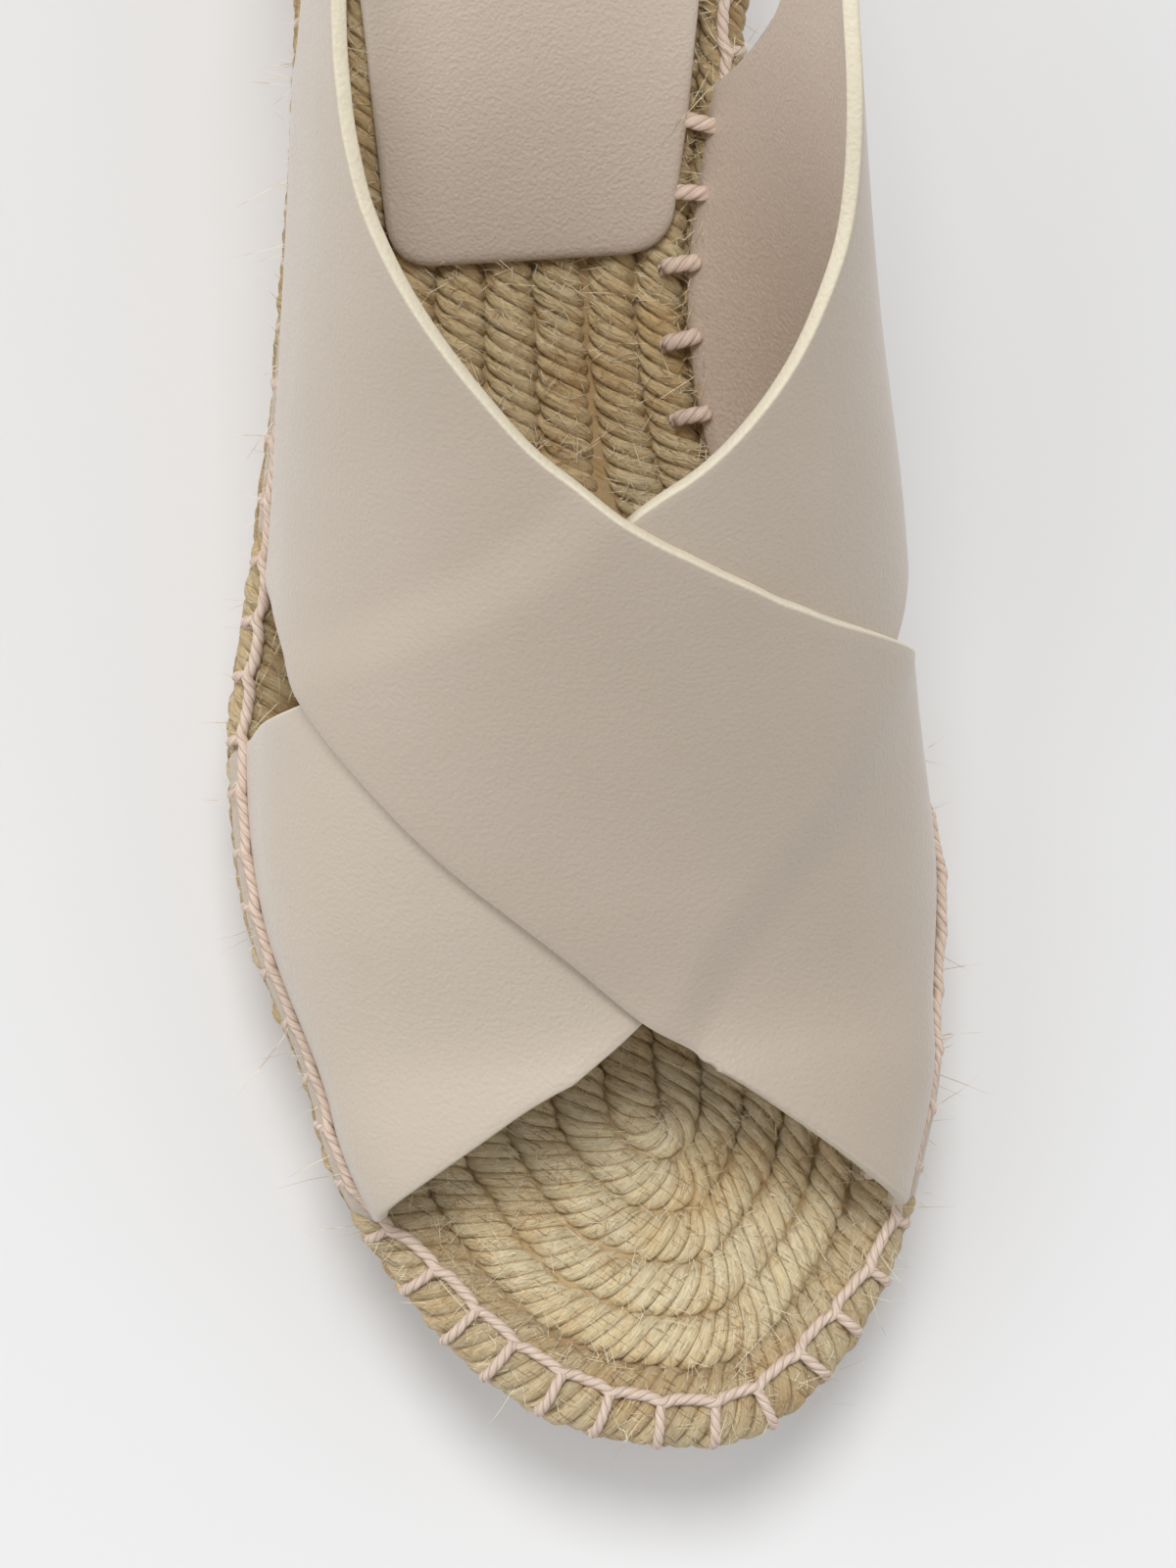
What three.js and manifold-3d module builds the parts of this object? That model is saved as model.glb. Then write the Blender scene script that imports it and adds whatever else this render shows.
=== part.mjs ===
// A right-foot wedge sandal: a rope wedge, a rubber outsole, a short leather heel pad, and one leather
// upper of two wide bands that cross over the forefoot and meet behind the heel as a sling.
// Millimetres. +X is the inner (medial) side of the foot, -Y the toe, +Z up, the floor at Z = 0.
import * as THREE from 'three';
import { mergeVertices } from 'three/addons/utils/BufferGeometryUtils.js';
import Module from 'manifold-3d';

const wasm = await Module();
wasm.setup();

// Sizes of the last
const LENGTH = 240;            // heel seat to toe tip, measured along the floor
const BALL_WIDTH = 84;         // across the ball of the foot, inside the rim rope
const WAIST_WIDTH = 53.5;      // across the arch
const HEEL_WIDTH = 55.5;       // across the heel seat
const INSTEP_RISE = 70;        // crest of the last over the foot bed at the instep
const FOREFOOT_HEIGHT = 24;    // top of the foot bed over the floor at the ball
const HEEL_HEIGHT = 60;        // top of the foot bed over the floor at the heel
const TOE_SPRING = 7;          // lift of the toe tip off the floor

// Sizes of the rope sole
const ROPE_PITCH = 6.6;        // from one coil of the foot bed to the next
const BED_THICKNESS = 7;       // the coiled layer under the foot
const GROOVE_DEPTH = 1.4;      // between two coils on the foot bed
const RIM_OVERHANG = 2.5;      // how far the rim rope stands outside the last
const SIDE_GROOVE = 1.2;       // between two rows on the side of the wedge
const FOREFOOT_ROWS = 2;       // rows of rope under the foot bed at the ball
const SIDE_LEAN = 0.06;        // how far the side leans in for each millimetre under the foot bed
const HEEL_TUCK = 2;           // how much further the back of the heel leans in at the floor
const TUCK_FROM = 0.8;         // where that starts, as a share of the length

// Sizes of the rubber outsole
const OUTSOLE_THICKNESS = 4;
const OUTSOLE_INSET = 1.2;     // edge of the rubber inside the lowest row
const TREAD_DEPTH = 1.2;
const TREAD_GROOVE = 3;        // width of one groove across the tread
const TREAD_PITCH = 12;        // from one groove to the next
const FOREFOOT_TREAD = [0.16, 0.46];  // where the tread begins and ends, as shares of the length
const HEEL_TREAD = [0.76, 0.94];

// Sizes of the leather
const LEATHER = 2;             // wall of the upper
const BOND = 0.4;              // how deep the upper band is pressed into the one it crosses
const CROSSING_RAMP = 9;       // over which the upper band settles beside the lower one
const CROSSING_END = 0.64;     // where both bands lie on the foot again, as a share of the length
const CROSSING_FADE = 0.06;    // and the share of the length before it in which they part
const HALF_GIRTH = 75;         // crest to feather edge round the instep, for distances on the last
const FEATHER_INSET = 1.2;     // inner face of the leather inside the edge of the last
const PAD_THICKNESS = 1.5;
const PAD_FRONT = 0.631;       // front edge of the heel pad, as a share of the length
const PAD_BACK = 0.84;         // where the taper of its lateral edge ends
const PAD_INSET = 4.2;         // edge of the pad inside the last
const PAD_WIDER = 2.3;         // how much closer to the last's edge the lateral side's edge lies
const PAD_TAPER = 8.6;         // how much further in its lateral edge lies at the front
const PAD_CORNER = 10;         // radius of its front corners, cut a little outside the sheet's edge
const PAD_CORNER_OUT = 1;
const PAD_SKEW = 3;            // how much further forward the front edge lies on the medial side
const GAP = 0.3;               // left between two pieces that touch
const TRIM_REACH = 20;         // how far outside the last the leather is trimmed level with the bed

// The last is swept by spokes: a fan round the toe, straight across the foot, and a fan round the heel
const TOE_FAN = 0.19;
const HEEL_FAN = 0.865;
const SPOKES = { toe: 9, foot: 15, heel: 7 };
const SPINE_ROOM = 2.5;        // a ring of points that comes closer to the spine stops on it
const GROOVE_ROOM = 1;         // a side row that ends closer to the foot bed than this reaches it
const WELD = 1e-3;             // points closer than this are one point

// Reads rows of numbers into arrays, one for each named column
function table(columns, rows) {
  return Object.fromEntries(columns.map((name, k) => [name, rows.map((row) => row[k])]));
}

// Cross sections from toe to heel. lateral and medial are the half widths as shares of the row's own
// width, spine and the two bulges are shares of the ball width, rise and lean are shares of the
// instep rise, and the two girths are the height of the widest line as a share of that section's rise.
// The rise is level round the toe, where all spokes start from one point of the crest.
const SECTIONS = table(
  ['at', 'width', 'lateral', 'medial', 'spine', 'rise', 'lean', 'bulgeL', 'bulgeM', 'girthL', 'girthM'],
  [
    [0.000, LENGTH, 0.191, 0.191, 0.113, 0.36, 0.00, 0.000, 0.000, 0.35, 0.35],
    [0.063, BALL_WIDTH, 0.535, 0.455, 0.113, 0.36, 0.00, 0.000, 0.000, 0.35, 0.26],
    [0.127, BALL_WIDTH, 0.508, 0.379, 0.113, 0.36, 0.00, 0.000, 0.000, 0.35, 0.18],
    [0.190, BALL_WIDTH, 0.527, 0.381, 0.113, 0.36, 0.00, 0.000, 0.000, 0.32, 0.17],
    [0.200, BALL_WIDTH, 0.531, 0.384, 0.111, 0.36, 0.00, 0.000, 0.000, 0.32, 0.17],
    [0.290, BALL_WIDTH, 0.569, 0.436, 0.083, 0.51, 0.01, 0.000, 0.000, 0.28, 0.14],
    [0.380, BALL_WIDTH, 0.550, 0.386, 0.060, 0.69, 0.06, 0.000, 0.030, 0.25, 0.29],
    [0.480, WAIST_WIDTH, 0.722, 0.402, 0.030, 0.86, 0.10, 0.023, 0.146, 0.30, 0.40],
    [0.580, WAIST_WIDTH, 0.606, 0.355, 0.012, 0.99, 0.14, 0.068, 0.130, 0.43, 0.48],
    [0.700, HEEL_WIDTH, 0.488, 0.440, 0.000, 1.20, 0.16, 0.092, 0.026, 0.48, 0.55],
    [0.800, HEEL_WIDTH, 0.443, 0.501, 0.000, 1.31, 0.13, 0.080, 0.012, 0.43, 0.46],
    [0.865, HEEL_WIDTH, 0.452, 0.505, 0.000, 1.37, 0.09, 0.057, 0.018, 0.33, 0.33],
    [0.930, HEEL_WIDTH, 0.494, 0.537, 0.000, 1.37, 0.06, 0.044, 0.020, 0.25, 0.25],
    [1.000, LENGTH, 0.135, 0.135, 0.000, 1.37, 0.00, 0.024, 0.024, 0.21, 0.21],
  ],
);

// Side view of the foot bed: climb is the share of the way from forefoot height to heel height,
// spring the share of the toe spring that floor and foot bed both rise by
const PROFILE = table(
  ['at', 'climb', 'spring'],
  [
    [0.0, 0.000, 1.00],
    [0.1, 0.000, 0.36],
    [0.2, 0.000, 0.07],
    [0.3, 0.000, 0.00],
    [0.4, 0.055, 0.00],
    [0.5, 0.208, 0.00],
    [0.6, 0.417, 0.00],
    [0.7, 0.639, 0.00],
    [0.8, 0.819, 0.00],
    [0.9, 0.944, 0.00],
    [1.0, 1.000, 0.00],
  ],
);

// The two bands, a row for each station from the sole at the forefoot to the seam behind the heel.
// low is the toe and sole edge, top the collar edge. At is the share from toe to heel, and round is
// where the edge lies round the last: 0 on the crest, 1 at the sole on the side that the band starts
// from, -1 at the sole on the other side.
const BAND_COLUMNS = ['lowAt', 'lowRound', 'topAt', 'topRound'];
const OVER_BAND = table(BAND_COLUMNS, [
  [0.108, 1.06, 0.375, 1.06],
  [0.11, 0.75, 0.384, 0.8],
  [0.114, 0.46, 0.399, 0.54],
  [0.1225, 0.261, 0.42, 0.285],
  [0.134, 0.17, 0.431, 0.19],
  [0.1465, 0.124, 0.436, 0.15],
  [0.158, 0.099, 0.44, 0.126],
  [0.174, 0.0765, 0.4435, 0.105],
  [0.1915, 0.052, 0.447, 0.083],
  [0.199, 0.001, 0.4525, 0.05],
  [0.221, -0.085, 0.466, -0.022],
  [0.268, -0.183, 0.486, -0.105],
  [0.322, -0.318, 0.513, -0.205],
  [0.37, -0.443, 0.547, -0.298],
  [0.403, -0.545, 0.587, -0.402],
  [0.43, -0.645, 0.618, -0.478],
  [0.452, -0.745, 0.646, -0.541],
  [0.466, -0.9, 0.669, -0.58],
  [0.472, -1.06, 0.686, -0.604],
  [0.56, -1.06, 0.7, -0.618],
  [0.64, -1.06, 0.714, -0.631],
  [0.698, -1.06, 0.731, -0.642],
  [0.706, -0.925, 0.752, -0.65],
  [0.713, -0.85, 0.778, -0.647],
  [0.735, -0.805, 0.81, -0.629],
  [0.785, -0.775, 0.85, -0.592],
  [0.86, -0.71, 0.9, -0.54],
  [0.93, -0.65, 0.95, -0.494],
  [1.00, -0.623, 1.00, -0.473],
]);
const UNDER_BAND = table(BAND_COLUMNS, [
  [0.145, 1.06, 0.385, 1.06],
  [0.1475, 0.75, 0.387, 0.87],
  [0.157, 0.459, 0.403, 0.545],
  [0.177, 0.283, 0.43, 0.27],
  [0.2215, 0.092, 0.457, 0.14],
  [0.268, -0.04, 0.481, 0.067],
  [0.32, -0.18, 0.503, -0.04],
  [0.37, -0.34, 0.5215, -0.112],
  [0.412, -0.48, 0.5465, -0.194],
  [0.448, -0.62, 0.58, -0.288],
  [0.474, -0.8, 0.606, -0.36],
  [0.488, -1.06, 0.63, -0.413],
  [0.56, -1.06, 0.655, -0.46],
  [0.64, -1.06, 0.68, -0.504],
  [0.696, -1.06, 0.706, -0.545],
  [0.705, -0.98, 0.735, -0.58],
  [0.714, -0.9, 0.77, -0.602],
  [0.733, -0.825, 0.808, -0.606],
  [0.785, -0.785, 0.85, -0.583],
  [0.86, -0.712, 0.9, -0.537],
  [0.93, -0.65, 0.95, -0.494],
  [1.00, -0.623, 1.00, -0.473],
]);
const BAND_STEPS = 50;         // along one band
const BAND_LANES = 8;          // across it

const clamp = (value, low, high) => Math.min(high, Math.max(low, value));
const degrees = (angle) => (angle * Math.PI) / 180;

function smooth(value) {
  const t = clamp(value, 0, 1);
  return t * t * (3 - 2 * t);
}

// A smooth curve through (xs, ys), level at both ends, read at x
function curve(xs, ys, x) {
  const last = xs.length - 1;
  const place = clamp(x, xs[0], xs[last]);
  let i = 0;
  while (i < last - 1 && place >= xs[i + 1]) i += 1;
  const slope = (k) => {
    if (k === 0 || k === last) return 0;
    const before = xs[k] - xs[k - 1];
    const after = xs[k + 1] - xs[k];
    const rise = ((ys[k] - ys[k - 1]) / before) * after + ((ys[k + 1] - ys[k]) / after) * before;
    return rise / (before + after);
  };
  const h = xs[i + 1] - xs[i];
  const t = (place - xs[i]) / h;
  const blend = t * t * (3 - 2 * t);
  return ys[i] * (1 - blend) + ys[i + 1] * blend
    + t * (1 - t) * (1 - t) * h * slope(i) - t * t * (1 - t) * h * slope(i + 1);
}

// One column of the sections in millimetres, at a share of the way from toe to heel
const RISES = SECTIONS.rise.map((share) => share * INSTEP_RISE);
const COLUMN = {
  lateral: SECTIONS.lateral.map((share, k) => share * SECTIONS.width[k]),
  medial: SECTIONS.medial.map((share, k) => share * SECTIONS.width[k]),
  spine: SECTIONS.spine.map((share) => share * BALL_WIDTH),
  rise: RISES,
  lean: SECTIONS.lean.map((share) => share * INSTEP_RISE),
  bulgeL: SECTIONS.bulgeL.map((share) => share * BALL_WIDTH),
  bulgeM: SECTIONS.bulgeM.map((share) => share * BALL_WIDTH),
  girthL: SECTIONS.girthL.map((share, k) => share * RISES[k]),
  girthM: SECTIONS.girthM.map((share, k) => share * RISES[k]),
};
const section = (name, at) => curve(SECTIONS.at, COLUMN[name], at);
const reach = (at, side) => section(side < 0 ? 'lateral' : 'medial', at);

// Height of the ground under the sole, and of the foot bed, at a place along the foot
const along = (y) => y / LENGTH + 0.5;
const floorLift = (y) => TOE_SPRING * Math.max(0, curve(PROFILE.at, PROFILE.spring, along(y)));
function bedTop(y) {
  const climb = curve(PROFILE.at, PROFILE.climb, along(y));
  return FOREFOOT_HEIGHT + (HEEL_HEIGHT - FOREFOOT_HEIGHT) * climb + floorLift(y);
}

// Where a spoke starts on the spine of the last, and its direction
function spoke(at, side) {
  const toeTurn = degrees(90) * clamp(at / TOE_FAN, 0, 1);
  const heelTurn = degrees(90) * clamp((at - HEEL_FAN) / (1 - HEEL_FAN), 0, 1);
  const root = clamp(at, TOE_FAN, HEEL_FAN);
  return {
    x: section('spine', root),
    y: LENGTH * (root - 0.5),
    dx: side * Math.sin(toeTurn) * Math.cos(heelTurn),
    dy: Math.sin(heelTurn) - Math.cos(toeTurn),
  };
}

// How much longer a step along the spoke is than the same step square to the outline
function spokeStretch(at, side) {
  const step = 0.002;
  const edge = (place) => {
    const s = spoke(place, side);
    const r = reach(place, side);
    return new THREE.Vector2(s.x + s.dx * r, s.y + s.dy * r);
  };
  const tangent = edge(Math.min(1, at + step)).sub(edge(Math.max(0, at - step))).normalize();
  const s = spoke(at, side);
  return 1 / Math.max(0.5, Math.abs(s.dx * tangent.y - s.dy * tangent.x));
}

// The spokes in order round the foot: toe to heel on the outer side, heel to toe on the inner side
function spokesAround() {
  const stops = [];
  for (let k = 0; k < SPOKES.toe; k += 1) stops.push((TOE_FAN * k) / SPOKES.toe);
  for (let k = 0; k < SPOKES.foot; k += 1) stops.push(TOE_FAN + ((HEEL_FAN - TOE_FAN) * k) / SPOKES.foot);
  for (let k = 0; k <= SPOKES.heel; k += 1) stops.push(HEEL_FAN + ((1 - HEEL_FAN) * k) / SPOKES.heel);
  const outer = stops.map((at) => ({ at, side: -1 }));
  const inner = stops.slice(1, -1).reverse().map((at) => ({ at, side: 1 }));
  return [...outer, ...inner].map(({ at, side }) => ({
    at,
    side,
    reach: reach(at, side),
    stretch: spokeStretch(at, side),
    ...spoke(at, side),
  }));
}
const AROUND = spokesAround();

// Turns a list of faces into one closed mesh that points outwards
function closedGeometry(points, faces) {
  const geometry = new THREE.BufferGeometry();
  geometry.setAttribute('position', new THREE.Float32BufferAttribute(points.flat(), 3));
  geometry.setIndex(faces.flat());
  const merged = mergeVertices(geometry, WELD);
  const at = merged.attributes.position;
  const corner = (i) => new THREE.Vector3().fromBufferAttribute(at, i);
  const kept = [];
  let volume = 0;
  for (let k = 0; k < merged.index.count; k += 3) {
    const [a, b, c] = [0, 1, 2].map((n) => merged.index.getX(k + n));
    if (a === b || b === c || c === a) continue;
    kept.push([a, b, c]);
    volume += corner(a).dot(corner(b).cross(corner(c)));
  }
  merged.setIndex((volume < 0 ? kept.map(([a, b, c]) => [a, c, b]) : kept).flat());
  return merged;
}

const solid = (geometry) => new wasm.Manifold(new wasm.Mesh({
  numProp: 3,
  vertProperties: Float32Array.from(geometry.attributes.position.array),
  triVerts: Uint32Array.from(geometry.index.array),
}));

function geometryOf(body) {
  const mesh = body.getMesh();
  const geometry = new THREE.BufferGeometry();
  geometry.setAttribute('position', new THREE.BufferAttribute(Float32Array.from(mesh.vertProperties), 3));
  geometry.setIndex(new THREE.BufferAttribute(Uint32Array.from(mesh.triVerts), 1));
  return geometry;
}

// A closed body of rings round the foot, listed from the middle of its top, over its edge, to the
// middle of its underside. A ring gives, for each spoke, how far it lies outside the last and a
// function for its height. A ring that would come close to the spine or pass it stops on it.
function ringBody(rings) {
  const points = [];
  const faces = [];
  const count = AROUND.length;
  rings.forEach((ring, row) => {
    AROUND.forEach((s, k) => {
      const { out, height } = ring(s);
      const free = s.reach + out * s.stretch;
      const r = free < SPINE_ROOM ? 0 : free;
      const y = s.y + s.dy * r;
      points.push([s.x + s.dx * r, y, height(y, r === 0)]);
      if (row === 0) return;
      const [a, b] = [(row - 1) * count + k, (row - 1) * count + ((k + 1) % count)];
      faces.push([a, b, b + count], [a, b + count, a + count]);
    });
  });
  return closedGeometry(points, faces);
}

// Rings that span a smooth face from the spine to near its edge. The faces where foot bed, wedge and
// trimmed leather meet have one more, so that they stay parallel.
const FACE_INSETS = [LENGTH, 30, 15];
const SEAT_INSETS = [...FACE_INSETS, 0];
const faceRings = (height, insets = FACE_INSETS) => insets.map((inset) => () => ({ out: -inset, height }));

// Foot bed: one rope coiled flat from the rim to the middle. The rim rope is half round on its
// outside, and every coil has a crest and a groove.
const RIM_SECTION = table(
  ['inset', 'drop'],
  [
    [0.70, 0.00],
    [0.30, 0.02],
    [0.09, 0.20],
    [0.00, 0.50],
    [0.09, 0.80],
    [0.28, 1.00],
  ],
);
const bedUnder = (y) => bedTop(y) - BED_THICKNESS;

function footBed() {
  const coil = [];
  const coils = Math.ceil(Math.max(...AROUND.map((s) => s.reach * s.stretch)) / ROPE_PITCH) + 1;
  for (let k = coils; k >= 1; k -= 1) {
    for (const [place, depth] of [[0.7, 0], [0.3, 0], [0, GROOVE_DEPTH]]) {
      const out = RIM_OVERHANG - (k + place) * ROPE_PITCH;
      coil.push(() => ({ out, height: (y, spine) => bedTop(y) - (spine ? GROOVE_DEPTH / 2 : depth) }));
    }
  }
  const rim = RIM_SECTION.inset.map((inset, k) => {
    const out = RIM_OVERHANG - inset * ROPE_PITCH;
    const drop = RIM_SECTION.drop[k] * BED_THICKNESS;
    return () => ({ out, height: (y) => bedTop(y) - drop });
  });
  return ringBody([...coil, ...rim, ...faceRings(bedUnder, SEAT_INSETS).reverse()]);
}

// Wedge: rows of rope stacked on the outsole, level with the floor, and cut to the slope of the bed
const rowHeight = (FOREFOOT_HEIGHT - BED_THICKNESS - OUTSOLE_THICKNESS - 2 * GAP) / FOREFOOT_ROWS;
const wedgeFoot = (y) => floorLift(y) + OUTSOLE_THICKNESS + GAP;
const wedgeTop = (y) => bedUnder(y) - GAP;
const wedgeRoom = (s) => wedgeTop(s.y + s.dy * s.reach) - wedgeFoot(s.y + s.dy * s.reach);
const tallest = wedgeTop(LENGTH / 2) - wedgeFoot(LENGTH / 2);
const ROW_CREST = [0, 0.3, 0.7];

// How far the side of the sole stands outside the last, that many millimetres under the wedge's top
function sideOut(s, depth) {
  const tuck = HEEL_TUCK * smooth((s.at - TUCK_FROM) / (1 - TUCK_FROM)) * (depth / tallest);
  return RIM_OVERHANG - SIDE_LEAN * depth - tuck;
}

function wedge() {
  const rows = Math.ceil(tallest / rowHeight);
  const side = [];
  for (let k = rows; k >= 0; k -= 1) {
    for (const place of [...ROW_CREST].reverse()) side.push((k + place) * rowHeight);
  }
  const sideRings = side.map((up) => (s) => {
    const room = wedgeRoom(s);
    const held = room - up < GROOVE_ROOM ? room : up;
    const phase = held / rowHeight - Math.floor(held / rowHeight + WELD);
    const groove = SIDE_GROOVE * clamp(1 - Math.min(phase, 1 - phase) / ROW_CREST[1], 0, 1);
    return {
      out: sideOut(s, room - held) - groove,
      height: (y) => (held === room ? wedgeTop(y) : wedgeFoot(y) + up),
    };
  });
  return ringBody([...faceRings(wedgeTop, SEAT_INSETS), ...sideRings, ...faceRings(wedgeFoot).reverse()]);
}

// Outsole: a rubber sheet with grooves across its tread, raised off the floor under the arch
function box(y0, y1, z0, z1) {
  const geometry = new THREE.BoxGeometry(LENGTH, y1 - y0, z1 - z0);
  geometry.translate(0, (y0 + y1) / 2, (z0 + z1) / 2);
  geometry.deleteAttribute('normal');
  geometry.deleteAttribute('uv');
  return solid(mergeVertices(geometry, WELD));
}

function outsole() {
  const top = (y) => floorLift(y) + OUTSOLE_THICKNESS;
  const edge = (s) => sideOut(s, wedgeRoom(s)) - OUTSOLE_INSET;
  let sheet = solid(ringBody([
    ...faceRings(top),
    (s) => ({ out: edge(s), height: top }),
    (s) => ({ out: edge(s), height: floorLift }),
    ...faceRings(floorLift).reverse(),
  ]));
  const place = (share) => LENGTH * (share - 0.5);
  for (const [from, to] of [FOREFOOT_TREAD, HEEL_TREAD]) {
    const grooves = Math.floor((place(to) - place(from)) / TREAD_PITCH);
    for (let k = 0; k < grooves; k += 1) {
      const y = place(from) + (k + 0.5) * TREAD_PITCH;
      const depth = floorLift(y) + TREAD_DEPTH;
      sheet = sheet.subtract(box(y - TREAD_GROOVE / 2, y + TREAD_GROOVE / 2, -TREAD_DEPTH, depth));
    }
  }
  sheet = sheet.subtract(box(place(FOREFOOT_TREAD[1]), place(HEEL_TREAD[0]), -TREAD_DEPTH, TREAD_DEPTH));
  return geometryOf(sheet);
}

// Heel pad: a thin leather sheet on the coils, with a straight front edge and rounded corners
function heelPad() {
  const under = (y) => bedTop(y) + GAP;
  const top = (y) => under(y) + PAD_THICKNESS;
  const inset = (at, side) => {
    if (side > 0) return PAD_INSET;
    const wider = PAD_WIDER * (1 - smooth((at - HEEL_FAN) / (1 - HEEL_FAN)));
    return PAD_INSET - wider + PAD_TAPER * clamp((PAD_BACK - at) / (PAD_BACK - PAD_FRONT), 0, 1);
  };
  const sheet = solid(ringBody([
    ...faceRings(top),
    (s) => ({ out: -inset(s.at, s.side), height: top }),
    (s) => ({ out: -inset(s.at, s.side), height: under }),
    ...faceRings(under).reverse(),
  ]));
  const front = LENGTH * (PAD_FRONT - 0.5);
  const halfWidth = (side) => reach(PAD_FRONT, side) - inset(PAD_FRONT, side) + PAD_CORNER_OUT;
  const left = section('spine', PAD_FRONT) - halfWidth(-1);
  const right = section('spine', PAD_FRONT) + halfWidth(1);
  const outline = new THREE.Shape();
  outline.moveTo(left - HEEL_WIDTH, LENGTH);
  outline.lineTo(left, front + PAD_CORNER);
  outline.quadraticCurveTo(left, front, left + PAD_CORNER, front);
  outline.lineTo(right - PAD_CORNER, front - PAD_SKEW);
  outline.quadraticCurveTo(right, front - PAD_SKEW, right, front - PAD_SKEW + PAD_CORNER);
  outline.lineTo(right + HEEL_WIDTH, LENGTH);
  const block = new THREE.ExtrudeGeometry(outline, { depth: 2 * HEEL_HEIGHT, bevelEnabled: false, curveSegments: 6 });
  block.deleteAttribute('normal');
  block.deleteAttribute('uv');
  return geometryOf(sheet.intersect(solid(mergeVertices(block, WELD))));
}

// The last itself: at runs from toe to heel, round from the crest (0) down to the sole edge (1 on the
// medial side, -1 on the lateral side). Over the widest line the section is a quarter ellipse, and
// under it an arc turns back in to the sole. Past the ends it goes on round the other side.
const GIRTH_ROUND = 0.72;
const UNDER_ARC = degrees(60);
const HEM = 60;                // how far past the sole edge one unit of round reaches down
const PEAK = { amount: 0.3, end: 0.38, fade: 0.2 };  // the vamp is that much more peaked than round

function lastPoint(at, round) {
  if (at > 1) return lastPoint(2 - at, -round);
  const side = round < 0 ? -1 : 1;
  const u = Math.abs(round);
  const s = spoke(at, side);
  const bulge = section(side < 0 ? 'bulgeL' : 'bulgeM', at);
  const girth = section(side < 0 ? 'girthL' : 'girthM', at);
  const rise = section('rise', at);
  const base = reach(at, side) - FEATHER_INSET;
  let r;
  let z;
  if (u < GIRTH_ROUND) {
    const psi = degrees(90) * (1 - u / GIRTH_ROUND);
    const peak = 1 + PEAK.amount * clamp((PEAK.end - at) / PEAK.fade, 0, 1);
    r = (base + bulge) * Math.cos(psi) ** peak;
    z = girth + (rise - girth) * Math.sin(psi);
  } else {
    const q = (UNDER_ARC * Math.min(u - GIRTH_ROUND, 1 - GIRTH_ROUND)) / (1 - GIRTH_ROUND);
    r = base + (bulge * (Math.cos(q) - Math.cos(UNDER_ARC))) / (1 - Math.cos(UNDER_ARC));
    z = girth * (1 - Math.sin(q) / Math.sin(UNDER_ARC)) - HEM * Math.max(0, u - 1);
  }
  const y = s.y + s.dy * r;
  return new THREE.Vector3(s.x + s.dx * r + (section('lean', at) * z) / rise, y, bedTop(y) + z + GAP);
}

// A point over the last, along its outward normal
function overLast(at, round, lift) {
  const step = 1e-3;
  const along3 = lastPoint(at + step, round).sub(lastPoint(at - step, round));
  const around3 = lastPoint(at, round + step).sub(lastPoint(at, round - step));
  return lastPoint(at, round).addScaledVector(around3.cross(along3).normalize(), lift);
}

// Both edges of a band at a share of its length, and a point between them. hand is 1 where the band
// starts on the medial side.
function bandPlace(band, hand, share, lane) {
  const stations = band.lowAt.map((_, k) => k);
  const place = share * (stations.length - 1);
  const read = (column) => curve(stations, band[column], place);
  const at = read('lowAt') * (1 - lane) + read('topAt') * lane;
  const round = hand * (read('lowRound') * (1 - lane) + read('topRound') * lane);
  return [at, round];
}

// How far a place on the last lies outside the area that the lower band covers, 0 over it
function underEdge() {
  const edge = [];
  for (let k = 0; k <= BAND_STEPS; k += 1) edge.push(bandPlace(UNDER_BAND, -1, k / BAND_STEPS, 0));
  for (let k = BAND_STEPS; k >= 0; k -= 1) edge.push(bandPlace(UNDER_BAND, -1, k / BAND_STEPS, 1));
  return edge.map(([at, round]) => new THREE.Vector2(at * LENGTH, round * HALF_GIRTH));
}
const UNDER_EDGE = underEdge();

function distanceFromUnder(at, round) {
  const p = new THREE.Vector2(at * LENGTH, round * HALF_GIRTH);
  let inside = false;
  let nearest = Infinity;
  UNDER_EDGE.forEach((a, k) => {
    const b = UNDER_EDGE[(k + 1) % UNDER_EDGE.length];
    if ((a.y > p.y) !== (b.y > p.y) && p.x < a.x + ((b.x - a.x) * (p.y - a.y)) / (b.y - a.y)) inside = !inside;
    const run = b.clone().sub(a);
    const t = clamp(p.clone().sub(a).dot(run) / Math.max(run.lengthSq(), WELD), 0, 1);
    nearest = Math.min(nearest, p.distanceTo(a.clone().addScaledVector(run, t)));
  });
  return inside ? 0 : nearest;
}

// One band of leather as a closed body: an outer and an inner face and the cut edge between them
function bandBody(band, hand, liftAt) {
  const points = [];
  const faces = [];
  const lanes = BAND_LANES + 1;
  const layer = (BAND_STEPS + 1) * lanes;
  for (const wall of [0, LEATHER]) {
    for (let i = 0; i <= BAND_STEPS; i += 1) {
      for (let j = 0; j <= BAND_LANES; j += 1) {
        const [at, round] = bandPlace(band, hand, i / BAND_STEPS, j / BAND_LANES);
        const p = overLast(at, round, liftAt(at, round) + wall);
        points.push(p.toArray());
      }
    }
  }
  const quad = (a, b, c, d) => faces.push([a, b, c], [a, c, d]);
  for (let i = 0; i < BAND_STEPS; i += 1) {
    for (let j = 0; j < BAND_LANES; j += 1) {
      const k = i * lanes + j;
      quad(k, k + lanes, k + lanes + 1, k + 1);
      quad(layer + k, layer + k + 1, layer + k + lanes + 1, layer + k + lanes);
    }
    const [low, top] = [i * lanes, i * lanes + BAND_LANES];
    quad(low, layer + low, layer + low + lanes, low + lanes);
    quad(top, top + lanes, layer + top + lanes, layer + top);
  }
  for (let j = 0; j < BAND_LANES; j += 1) {
    const end = BAND_STEPS * lanes + j;
    quad(j, j + 1, layer + j + 1, layer + j);
    quad(end, layer + end, layer + end + 1, end + 1);
  }
  return solid(closedGeometry(points, faces));
}

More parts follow.
